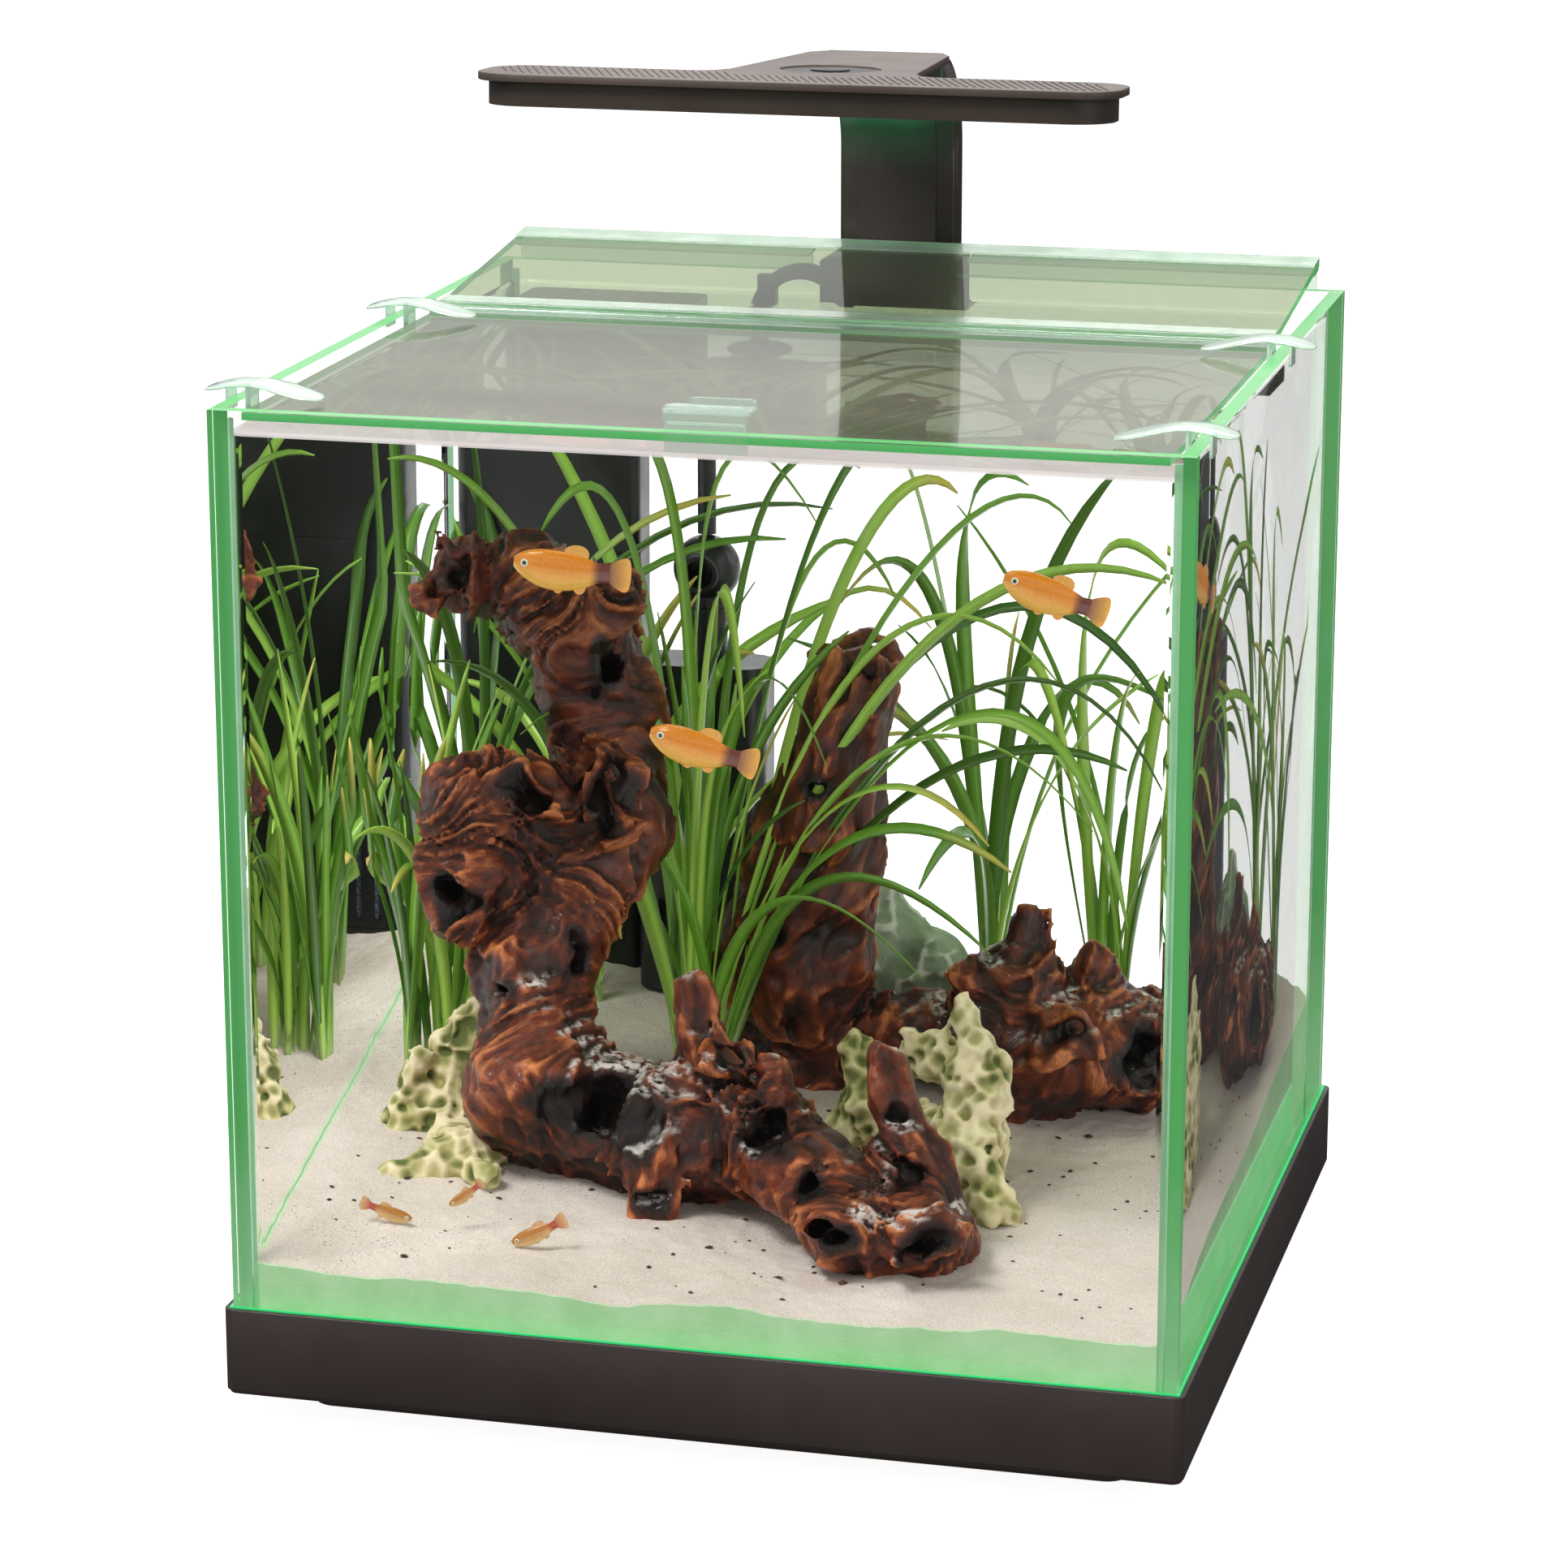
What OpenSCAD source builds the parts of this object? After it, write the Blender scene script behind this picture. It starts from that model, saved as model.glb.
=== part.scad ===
// Cube aquarium on a lit base, with a two-piece glass lid, a clamp-on lamp, an inside filter,
// a circulation pump and a planted hardscape. Millimetres, +Z up, front towards -Y.
// The origin is the centre of the plinth's flat underside.

/* [Tank] */
// Outside width and depth of the glass cube
tank_w = 380; // [360:5:400]
// Height of the glass panes
glass_h = 380; // [360:5:400]
// Thickness of the panes
glass_t = 6; // [5:0.5:8]
// Depth of the water below the rim

/* [Base] */
// Height of the lit base shell
base_h = 36; // [34:1:44]
// How far the base shell stands out past the glass
base_over = 3.5; // [3:0.5:5]
// Height of the set-back plinth under the base
plinth_h = 12; // [10:1:16]
// How far the plinth is set back from the base shell
plinth_inset = 26; // [20:1:40]

/* [Lid] */
// Thickness of the two lid panels
lid_t = 3; // [3:0.5:4]
// Distance from the lid's top face down to the rim
lid_drop = 2; // [1:0.5:3]
// Hinge line, measured back from the tank's centre
hinge_y = 60; // [40:5:70]
// Rise of the rear flap from level, in degrees
flap_tilt = 6; // [4:0.5:8]

/* [Lamp] */
// Length of the lamp head
head_len = 267; // [240:1:270]
// Depth of the lamp head
head_d = 48; // [44:1:52]
// Height of the lamp head's top above the glass rim
head_rise = 100; // [90:1:120]
// Width of the lamp arm
arm_w = 52; // [44:1:56]
// Rise of the lamp head towards the front, in degrees
head_tilt = 2.5; // [1:0.5:3]

/* [Filter] */
// Width of the filter column
filter_w = 81; // [70:1:85]
// Depth of the filter column
filter_d = 28; // [24:1:30]

/* [Hidden] */
$fn = 48;

glass_z = plinth_h + base_h / 2 + 0.5;
rim_z = glass_z + glass_h;
floor_z = glass_z + glass_t;
tank_r = tank_w / 2;
inner_r = tank_r - glass_t;
seam_gap = 0.5;
base_r = tank_r + base_over;
base_top = plinth_h + base_h;
base_draft = 0.9;
plinth_r = base_r - plinth_inset;
screw_at = plinth_r - 27;
deck_z = glass_z - 6.5;

lid_z = rim_z - lid_drop - lid_t;
lid_r = inner_r - 5;
lid_front_y = -inner_r + 2;
lid_rear_y = hinge_y - 4;
hinge_z = lid_z + lid_t / 2 + 2;
flap_len = tank_r - 2 - hinge_y;
web_r = 1.3;
clip_w = 16;

head_x = -9;
head_y = 15;
head_top = rim_z + head_rise;
pivot_y = 162;
pivot_z = head_top;
plate_t = 3.3;
housing_t = 10;
housing_inset = 3.5;
arm_t = 16;
arm_y = tank_r + 1.5;
bend_ri = arm_y - pivot_y;
bend_z = head_top - arm_t - bend_ri;
button_y = 66;

jaw_w = 59;
jaw_x = head_x;
clamp_top = rim_z + 7.5;
screw_z = rim_z - 34;
pad_travel = 3;
outer_jaw_y = tank_r + 0.6;
jaw_back_y = arm_y + arm_t;

filter_x = -131.5;
filter_y = 164;
filter_lo = 92;
filter_hi = rim_z - 14;
filter_wall = 2.5;

pump_x = -61;
pump_y = 150;
pump_lo = 118;
pump_hi = 262;
ball_z = 302;
ball_r = 14.5;

// Height of the sand's surface, which slopes up to the back, most of all at the left
function sand_z(x, y) = 62 + 3 * pow(x / inner_r, 2)
    + (y + inner_r) / (2 * inner_r) * (52 - 26 * x / inner_r) + 1.2 * sin(3 * x + 40) * cos(2 * y);

// Plain helpers
module block(lo, hi) {
    translate(lo) cube(hi - lo);
}

module rounded_rect(w, d, r) {
    square([w - 2 * r, d], center = true);
    square([w, d - 2 * r], center = true);
    for (sx = [-1, 1], sy = [-1, 1])
        translate([sx * (w / 2 - r), sy * (d / 2 - r)]) circle(r);
}

module rounded_slab(half, r, z0, z1) {
    translate([0, 0, z0]) linear_extrude(z1 - z0) rounded_rect(2 * half, 2 * half, r);
}

module four_corners(at) {
    for (sx = [-1, 1], sy = [-1, 1]) translate([sx * at, sy * at, 0]) children();
}

module four_sides() {
    for (turn = [0:3]) rotate([0, 0, 90 * turn]) children();
}

module along_y(x, y, z) {
    translate([x, y, z]) rotate([-90, 0, 0]) children();
}

// Tank
module glass_colour() {
    color([0.62, 0.9, 0.75, 0.35]) children();
}

module front_pane() {
    glass_colour() block([-tank_r, -tank_r, glass_z], [tank_r, -inner_r, rim_z]);
}

module rear_pane() {
    glass_colour() block([-tank_r, inner_r, glass_z], [tank_r, tank_r, rim_z]);
}

module side_pane(x0) {
    reach = inner_r - seam_gap;
    glass_colour() block([x0, -reach, glass_z], [x0 + glass_t, reach, rim_z]);
}

module left_pane() {
    side_pane(-tank_r);
}

module right_pane() {
    side_pane(inner_r);
}

module bottom_pane() {
    reach = inner_r - seam_gap;
    glass_colour() block([-reach, -reach, glass_z], [reach, reach, floor_z]);
}

module corner_bead() {
    bead = 2.5;
    reach = inner_r - seam_gap;
    translate([0, 0, floor_z]) linear_extrude(rim_z - floor_z - 4)
        polygon([[-inner_r, -reach], [-inner_r, -reach + bead], [-inner_r + bead, -inner_r],
            [-inner_r, -inner_r]]);
}

module silicone_seams() {
    reach = inner_r - seam_gap;
    color([0.85, 0.88, 0.86]) {
        four_sides() corner_bead();
        four_sides() block([-inner_r, -inner_r, glass_z], [inner_r - seam_gap, -reach, floor_z]);
    }
}

// Lit base
module base_shell() {
    wall_in = tank_r + 1.4;
    trough_in = tank_r - 10;
    color([0.2, 0.17, 0.16]) difference() {
        union() {
            rounded_slab(base_r, 4, plinth_h + 1.5, base_top);
            rounded_slab(base_r - base_draft, 4, plinth_h, plinth_h + 1.5);
        }
        block([-wall_in, -wall_in, deck_z + 2], [wall_in, wall_in, base_top + 1]);
        block([-wall_in + 2, -wall_in + 2, plinth_h + 2.5], [wall_in - 2, wall_in - 2, deck_z]);
        block([-plinth_r + 9, -plinth_r + 9, plinth_h - 1], [plinth_r - 9, plinth_r - 9, plinth_h + 4]);
        four_corners(screw_at) translate([0, 0, plinth_h - 1]) cylinder(r = 1.7, h = 6);
    }
    color([0.2, 0.17, 0.16]) {
        block([-trough_in, -trough_in, deck_z + 2], [trough_in, trough_in, deck_z + 4]);
        four_corners(screw_at) translate([0, 0, plinth_h]) difference() {
            cylinder(r = 5, h = deck_z - plinth_h);
            translate([0, 0, -1]) cylinder(r = 1.7, h = 10);
        }
    }
}

module light_guide_rim() {
    gap_in = tank_r + 0.3;
    gap_out = tank_r + 1.3;
    color([0.1, 0.6, 0.3]) difference() {
        block([-gap_out, -gap_out, deck_z + 5], [gap_out, gap_out, base_top + 0.4]);
        block([-gap_in, -gap_in, deck_z + 4], [gap_in, gap_in, base_top + 1]);
    }
}

module led_strip_boards() {
    color([0.9, 0.9, 0.88]) four_sides()
        block([-tank_r + 1, -tank_r + 1, deck_z + 2], [tank_r - 10, -tank_r + 9, deck_z + 2.8]);
}

module led_chips() {
    per_side = 12;
    pitch = (tank_w - 40) / per_side;
    color([0.95, 0.9, 0.6]) four_sides() for (i = [0:per_side - 1])
        translate([-tank_r + 12 + i * pitch, -tank_r + 5, deck_z + 3.55])
            cube([5, 5, 1.5], center = true);
}

module foam_mat() {
    reach = tank_r - 10.5;
    color([0.1, 0.1, 0.1]) block([-reach, -reach, deck_z + 4], [reach, reach, glass_z]);
}

module plinth_plate() {
    wall = 3;
    color([0.16, 0.14, 0.13]) difference() {
        union() {
            difference() {
                rounded_slab(plinth_r, 10, 0, plinth_h);
                rounded_slab(plinth_r - wall, 8, wall, plinth_h + 1);
            }
            four_corners(screw_at) cylinder(r = 7, h = plinth_h);
            for (sx = [-1, 1], sy = [-1, 1]) translate([sx * 34, sy * 20, wall]) cylinder(r = 3, h = 5);
        }
        four_corners(screw_at) translate([0, 0, -1]) cylinder(r = 1.8, h = plinth_h + 2);
        four_corners(screw_at) translate([0, 0, -1]) cylinder(r = 3.6, h = 4);
        four_corners(screw_at - 30) translate([0, 0, -1]) cylinder(r = 11.2, h = 2.6);
        along_y(110, plinth_r - 5, plinth_h / 2 + 1) cylinder(r = 3.5, h = 7);
    }
}

module rubber_pads() {
    color([0.1, 0.1, 0.1]) four_corners(screw_at - 30) cylinder(r = 11, h = 1.6);
}

module plinth_screws() {
    color("silver") four_corners(screw_at) {
        translate([0, 0, 1]) difference() {
            cylinder(r = 3.4, h = 2);
            translate([0, 0, -0.1]) cylinder(r = 1.5, h = 1.1, $fn = 6);
        }
        translate([0, 0, 3]) cylinder(r = 1.6, h = plinth_h - 0.5);
    }
}

module controller_board() {
    board_z = 8;
    color([0.1, 0.4, 0.25]) {
        block([-40, -26, board_z], [40, 26, board_z + 1.6]);
        block([-10, -10, board_z + 1.6], [4, 4, board_z + 3.2]);
        block([16, -20, board_z + 1.6], [26, -4, board_z + 6]);
        block([-34, 8, board_z + 1.6], [-22, 22, board_z + 5]);
        translate([30, 14, board_z + 1.6]) cylinder(r = 4, h = 8);
        translate([18, 14, board_z + 1.6]) cylinder(r = 3, h = 6);
    }
}

module power_inlet() {
    inlet_z = plinth_h / 2 + 1;
    color([0.15, 0.15, 0.15]) {
        along_y(110, plinth_r - 12, inlet_z) difference() {
            cylinder(r = 3.45, h = 12.5);
            translate([0, 0, 2]) cylinder(r = 2.6, h = 12);
        }
        along_y(110, plinth_r - 12, inlet_z) cylinder(r = 0.9, h = 10);
        block([105.5, plinth_r - 14, 3], [114.5, plinth_r - 11.9, plinth_h - 1]);
    }
}

// Lid
module flap_frame() {
    translate([0, hinge_y, hinge_z]) rotate([flap_tilt, 0, 0]) children();
}

module lid_front_panel() {
    glass_colour() block([-lid_r, lid_front_y, lid_z], [lid_r, lid_rear_y, lid_z + lid_t]);
}

module lid_rear_panel() {
    glass_colour() flap_frame() block([-lid_r, 4, -lid_t / 2], [lid_r, flap_len, lid_t / 2]);
}

module hinge_web() {
    front_y = lid_rear_y + 1;
    color([0.9, 0.95, 0.93, 0.6]) {
        translate([-lid_r, hinge_y, hinge_z]) rotate([0, 90, 0]) cylinder(r = web_r, h = 2 * lid_r);
        block([-lid_r, front_y, hinge_z - 0.5], [lid_r, hinge_y - 1, hinge_z + 0.5]);
    }
}

module channel(y0, y1, mid_z, half_gap, x_end) {
    skin = 1;
    difference() {
        block([-x_end, y0, mid_z - half_gap - skin], [x_end, y1, mid_z + half_gap + skin]);
        block([-x_end - 1, y0 - 1, mid_z - half_gap], [x_end + 1, y1 - skin, mid_z + half_gap]);
    }
}

module hinge_front_channel() {
    color([0.9, 0.95, 0.93, 0.6]) {
        channel(lid_rear_y - 8, lid_rear_y + 1, lid_z + lid_t / 2, lid_t / 2, lid_r);
        block([-lid_r, lid_rear_y, lid_z + lid_t + 1], [lid_r, lid_rear_y + 1, hinge_z + 0.5]);
    }
}

module hinge_rear_channel() {
    bore = web_r + 0.05;
    color([0.9, 0.95, 0.93, 0.6]) flap_frame() {
        translate([0, 16, 0]) mirror([0, 1, 0]) channel(4, 13, 0, lid_t / 2, lid_r);
        difference() {
            union() {
                block([-lid_r, 0.1, -2.2], [lid_r, 3, 0.6]);
                block([-lid_r, 1.4, 0.5], [lid_r, 3, 2.2]);
            }
            translate([-lid_r - 1, 0, 0]) rotate([0, 90, 0]) cylinder(r = bore, h = 2 * lid_r + 2);
        }
    }
}

module lid_handle() {
    half_w = 16.5;
    handle_x = 4;
    top = lid_z + lid_t;
    color([0.9, 0.95, 0.93, 0.6]) translate([handle_x, lid_front_y, 0]) {
        block([-half_w, -1.2, lid_z - 2], [half_w, 0, top + 2]);
        block([-half_w, 0, lid_z - 2], [half_w, 13, lid_z]);
        block([-half_w, 0, top], [half_w, 13, top + 2]);
        block([-half_w, 3, top + 2], [half_w, 5.5, top + 6]);
        translate([-half_w, 4.2, top + 7]) rotate([0, 90, 0]) cylinder(r = 2.2, h = 2 * half_w);
    }
}

module rear_edge_strip() {
    notch_l = jaw_x - jaw_w / 2 - 6;
    notch_r = jaw_x + jaw_w / 2 + 6;
    lip_y = flap_len - 8;
    color([0.9, 0.95, 0.93, 0.6]) flap_frame() {
        block([-lid_r, flap_len - 14, lid_t / 2], [lid_r, flap_len, lid_t / 2 + 1]);
        block([-lid_r, lip_y - 6, -lid_t / 2 - 1], [notch_l, lip_y + 6, -lid_t / 2]);
        block([notch_r, lip_y - 6, -lid_t / 2 - 1], [lid_r, lip_y + 6, -lid_t / 2]);
        block([-lid_r, lip_y, -lid_t / 2 - 8], [notch_l, lip_y + 1, -lid_t / 2 - 1]);
        block([notch_r, lip_y, -lid_t / 2 - 8], [lid_r, lip_y + 1, -lid_t / 2 - 1]);
    }
}

module clip_lobe(x0, x1, w0, w1, z0, t) {
    translate([0, 0, z0]) linear_extrude(t) {
        polygon([[x0, -w0 / 2], [x1, -w1 / 2], [x1, w1 / 2], [x0, w0 / 2]]);
        translate([x1, 0]) circle(w1 / 2);
    }
}

// One lid clip: it grips the panel's side edge and its U hooks over the side pane's rim
module lid_clip(side, y) {
    slack = 0.4;
    grip = 9;
    lobe_rise = 3.5;
    color([0.9, 0.95, 0.93, 0.6]) translate([0, y, 0]) mirror([side < 0 ? 1 : 0, 0, 0]) {
        clip_lobe(inner_r, tank_r + 5, 8, 12, rim_z + lobe_rise, 2);
        clip_lobe(inner_r, lid_r - 14, 8, 12, rim_z + lobe_rise, 2);
        block([inner_r - 2.5, -clip_w / 4, lid_z + lid_t], [inner_r - slack, clip_w / 4, rim_z + lobe_rise]);
        block([inner_r - slack, -clip_w / 4, rim_z + slack], [tank_r + slack, clip_w / 4, rim_z + lobe_rise]);
        block([tank_r + slack, -clip_w / 4, rim_z - 5], [tank_r + 1.6, clip_w / 4, rim_z + lobe_rise]);
        block([lid_r, -clip_w / 2, lid_z - 1.6], [inner_r - 2.5, clip_w / 2, lid_z + lid_t + 1.6]);
        block([lid_r - grip, -clip_w / 2, lid_z - 1.6], [lid_r, clip_w / 2, lid_z]);
        block([lid_r - grip, -clip_w / 2, lid_z + lid_t], [lid_r, clip_w / 2, lid_z + lid_t + 1.6]);
    }
}

module lid_clip_front_left() {
    lid_clip(-1, -160);
}

module lid_clip_front_right() {
    lid_clip(1, -160);
}

module lid_clip_mid_left() {
    lid_clip(-1, 32);
}

module lid_clip_mid_right() {
    lid_clip(1, 32);
}

// Lamp
module tilted() {
    translate([head_x, pivot_y, pivot_z]) rotate([-head_tilt, 0, 0])
        translate([0, -pivot_y, 0]) children();
}

module head_outline(inset) {
    fillet = 12;
    neck_y0 = head_y + head_d / 2 - inset;
    w_front = 41 - inset;
    w_rear = arm_w / 2 + 5 - inset;
    translate([0, head_y]) rounded_rect(head_len - 2 * inset, head_d - 2 * inset, 18);
    polygon([[-w_front, neck_y0 - 5], [w_front, neck_y0 - 5], [w_rear, pivot_y - 8],
        [arm_w / 2 - inset, pivot_y], [-arm_w / 2 + inset, pivot_y], [-w_rear, pivot_y - 8]]);
    for (side = [-1, 1]) difference() {
        translate([side * (w_front + fillet / 2 - 1), neck_y0 + fillet / 2 - 1])
            square(fillet + 2, center = true);
        translate([side * (w_front + fillet), neck_y0 + fillet]) circle(fillet);
    }
}

module lamp_top_cover() {
    color([0.2, 0.17, 0.16]) tilted() translate([0, 0, -plate_t]) difference() {
        linear_extrude(plate_t) head_outline(0);
        translate([0, button_y, 1.6]) cylinder(r = 21, h = plate_t);
        translate([0, button_y, -1]) cylinder(r = 10.2, h = plate_t);
    }
}

module lamp_lower_housing() {
    depth = plate_t + housing_t;
    color([0.17, 0.15, 0.14]) tilted() difference() {
        translate([0, 0, -depth]) linear_extrude(housing_t) head_outline(housing_inset);
        translate([0, head_y, -depth - 1]) linear_extrude(housing_t - 0.5)
            rounded_rect(head_len - 18, head_d - 16, 8);
        translate([0, button_y, -depth + 2]) cylinder(r = 13, h = housing_t);
        for (sx = [-1, 1]) translate([sx * 20, 130, -depth - 1]) cylinder(r = 1.7, h = housing_t);
    }
}

module lamp_diffuser() {
    depth = plate_t + housing_t;
    color([0.95, 0.96, 0.95]) tilted()
        translate([0, head_y, -depth + 0.4]) linear_extrude(2)
            rounded_rect(head_len - 18.6, head_d - 16.6, 7.7);
}

module lamp_led_board() {
    board_z = -plate_t - 3.1;
    color([0.9, 0.92, 0.9]) tilted()
        translate([0, head_y, board_z]) linear_extrude(1.6)
            rounded_rect(head_len - 20, head_d - 18, 7);
}

module lamp_leds() {
    board_z = -plate_t - 3.1;
    color([0.98, 0.95, 0.6]) tilted() for (i = [-7:7], j = [-1, 1])
        translate([i * 16, head_y + 8 * j, board_z - 0.6]) cube([5, 5, 1.2], center = true);
}

module lamp_button() {
    color([0.24, 0.21, 0.2]) tilted() {
        translate([0, button_y, -1.7]) cylinder(r = 8, h = 1.6);
        translate([0, button_y, -8]) cylinder(r = 2.5, h = 6.4);
        translate([0, button_y, -5.6]) cylinder(r = 11, h = 1);
    }
}

module lamp_button_ring() {
    color([0.14, 0.12, 0.12]) tilted() translate([0, button_y, -1.7]) difference() {
        cylinder(r = 20.8, h = 1);
        translate([0, 0, -1]) cylinder(r = 8.4, h = 3);
    }
}

module arm_profile(r_in, r_out, foot_z) {
    translate([pivot_y + r_in, foot_z]) square([r_out - r_in, bend_z - foot_z]);
    translate([pivot_y, bend_z]) intersection() {
        difference() {
            circle(r_out, $fn = 96);
            circle(r_in, $fn = 96);
        }
        square(r_out + 1);
    }
}

module arm_sweep(w) {
    translate([head_x - w / 2, 0, 0]) rotate([90, 0, 90]) linear_extrude(w) children();
}

module lamp_arm_body() {
    color([0.2, 0.17, 0.16]) arm_sweep(arm_w)
        arm_profile(bend_ri, bend_ri + arm_t, clamp_top);
}

module lamp_arm_front_panel() {
    color([0.16, 0.14, 0.13]) arm_sweep(arm_w - 17)
        arm_profile(bend_ri - 1.2, bend_ri, clamp_top + 3);
}

module lamp_screws() {
    depth = plate_t + housing_t;
    color("silver") tilted() for (sx = [-1, 1]) translate([sx * 20, 130, -depth]) {
        cylinder(r = 1.6, h = housing_t - 1.2);
        translate([0, 0, -1.2]) cylinder(r = 3, h = 1.2);
    }
}

// Clamp over the rear pane
module clamp_body() {
    jaw_l = jaw_x - jaw_w / 2;
    jaw_r = jaw_x + jaw_w / 2;
    color([0.2, 0.17, 0.16]) difference() {
        union() {
            block([jaw_l, inner_r - 16, rim_z - 14], [jaw_r, inner_r - 0.6, rim_z + 0.6]);
            block([jaw_l, inner_r - 16, rim_z + 0.6], [jaw_r, jaw_back_y, clamp_top]);
            block([jaw_l, outer_jaw_y, screw_z - 16], [jaw_r, jaw_back_y, rim_z + 0.6]);
        }
        along_y(jaw_x, outer_jaw_y - 1, screw_z) cylinder(r = 9.6, h = 1 + 2.4 + pad_travel + 0.4);
        along_y(jaw_x, outer_jaw_y, screw_z) cylinder(r = 4, h = jaw_back_y);
    }
}

module clamp_lining() {
    color([0.1, 0.1, 0.1])
        block([jaw_x - 24, inner_r - 0.6, rim_z - 12], [jaw_x + 24, inner_r, rim_z - 1]);
}

module clamp_pad() {
    pad_y = tank_r + 0.3;
    color([0.1, 0.1, 0.1]) along_y(jaw_x, pad_y, screw_z) difference() {
        cylinder(r = 9, h = 2.7);
        translate([0, 0, 1.2]) cylinder(r = 2.58, h = 2);
    }
}

module clamp_screw() {
    nose_y = tank_r + 0.3 + 1.4;
    color([0.22, 0.2, 0.19]) along_y(jaw_x, nose_y, screw_z) {
        cylinder(r = 2.5, h = 2);
        translate([0, 0, 1.6]) cylinder(r = 3.92, h = 17);
        translate([0, 0, 17.8]) difference() {
            cylinder(r = 12, h = 9);
            for (a = [0:45:315]) rotate([0, 0, a]) translate([13.2, 0, -1]) cylinder(r = 2.4, h = 11);
        }
    }
}

// Filter column and circulation pump
module filter_box(grow, z0, z1) {
    translate([filter_x, filter_y, z0]) linear_extrude(z1 - z0)
        rounded_rect(filter_w + 2 * grow, filter_d + 2 * grow, 5 + grow);
}

module filter_body() {
    window_w = filter_w - 22;
    front_y = filter_y - filter_d / 2;
    color([0.1, 0.1, 0.1]) difference() {
        filter_box(0, filter_lo, filter_hi - 90);
        filter_box(-filter_wall, filter_lo + 3, filter_hi);
        block([filter_x - window_w / 2, front_y - 1, filter_lo + 40],
            [filter_x + window_w / 2, front_y + 4, filter_lo + 90]);
    }
}

module filter_cover() {
    color([0.12, 0.12, 0.12]) difference() {
        filter_box(0, filter_hi - 89.8, filter_hi);
        filter_box(-filter_wall, filter_hi - 91, filter_hi - 3);
        for (i = [-2:2]) translate([filter_x + 11 * i, filter_y, filter_hi - 5])
            cube([5, filter_d - 10, 12], center = true);
    }
}

module filter_grille() {
    window_w = filter_w - 22.4;
    front_y = filter_y - filter_d / 2;
    slots = 7;
    pitch = window_w / slots;
    color([0.08, 0.08, 0.08]) difference() {
        block([filter_x - window_w / 2, front_y, filter_lo + 40.2],
            [filter_x + window_w / 2, front_y + 2.2, filter_lo + 89.8]);
        for (i = [0:slots - 1])
            translate([filter_x - window_w / 2 + (i + 0.5) * pitch, front_y, filter_lo + 65])
            cube([3, 8, 42], center = true);
    }
}

module filter_cartridge() {
    color([0.25, 0.3, 0.35]) filter_box(-filter_wall - 0.6, filter_lo + 3.2, filter_hi - 95);
}

module pump_body() {
    color([0.1, 0.1, 0.1]) difference() {
        union() {
            translate([pump_x, pump_y, pump_lo]) linear_extrude(pump_hi - pump_lo) rounded_rect(56, 40, 12);
            translate([pump_x, pump_y, pump_hi]) cylinder(r = 9, h = ball_z - ball_r - 2 - pump_hi);
        }
        translate([pump_x, pump_y, pump_lo + 12]) cylinder(r = 15, h = 34);
        translate([pump_x, pump_y, pump_lo + 40]) cylinder(r = 5.5, h = 200);
        for (i = [-2:2]) translate([pump_x + 8 * i, pump_y - 20, pump_lo + 28])
            cube([3, 12, 26], center = true);
    }
}

module pump_impeller() {
    hub_r = 6;
    color([0.85, 0.85, 0.8]) translate([pump_x, pump_y, pump_lo + 14]) difference() {
        union() {
            cylinder(r = hub_r, h = 22);
            cylinder(r = 13, h = 1.5);
            for (a = [0:60:300]) rotate([0, 0, a]) translate([hub_r - 1.5, -1, 1.4]) cube([8, 2, 10]);
        }
        translate([0, 0, -1]) cylinder(r = 1.55, h = 24);
    }
}

module impeller_shaft() {
    color("silver") translate([pump_x, pump_y, pump_lo + 12]) cylinder(r = 1.5, h = 27);
}

module flow_nozzle() {
    color([0.12, 0.12, 0.12]) translate([pump_x, pump_y, ball_z]) difference() {
        union() {
            sphere(ball_r);
            translate([0, 0, -ball_r - 1.7]) cylinder(r = 8.6, h = 5);
            rotate([90, 0, 0]) cylinder(r = 8, h = ball_r + 5);
        }
        rotate([90, 0, 0]) cylinder(r = 6, h = ball_r + 6);
        translate([0, 0, -ball_r - 3]) cylinder(r = 5, h = ball_r + 3);
    }
}

// Rigid hanger: a stem above the pump, and an arch that stands just inside the rear rim
module pump_hanger() {
    arch_r = 20;
    arch_y = 164.5;
    stem_z = ball_z + ball_r + 0.6;
    elbow_z = rim_z - 20;
    foot_z = rim_z - 17;
    color([0.1, 0.1, 0.1]) {
        translate([pump_x, pump_y, stem_z]) cylinder(r = 4, h = elbow_z - stem_z);
        block([pump_x - 4, pump_y - 4, elbow_z], [pump_x + 4, arch_y + 3, elbow_z + 8]);
        block([pump_x - 4, arch_y - 3, elbow_z + 8], [pump_x + 4, arch_y + 3, foot_z + arch_r - 2]);
        translate([pump_x + 16, arch_y, foot_z]) rotate([90, 0, 0])
            rotate_extrude(angle = 180) translate([arch_r, 0]) square(6.4, center = true);
    }
}

module suction_cups() {
    color([0.2, 0.2, 0.2]) {
        for (dx = [-24, 24], z = [130, 340]) along_y(filter_x + dx, filter_y + filter_d / 2, z) {
            cylinder(r = 3, h = 3);
            translate([0, 0, 3]) cylinder(r1 = 4, r2 = 9, h = 2.8);
        }
        for (z = [150, 230]) along_y(pump_x, pump_y + 20, z) {
            cylinder(r = 3, h = 10);
            translate([0, 0, 10]) cylinder(r1 = 4, r2 = 9, h = 3.6);
        }
    }
}

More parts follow.
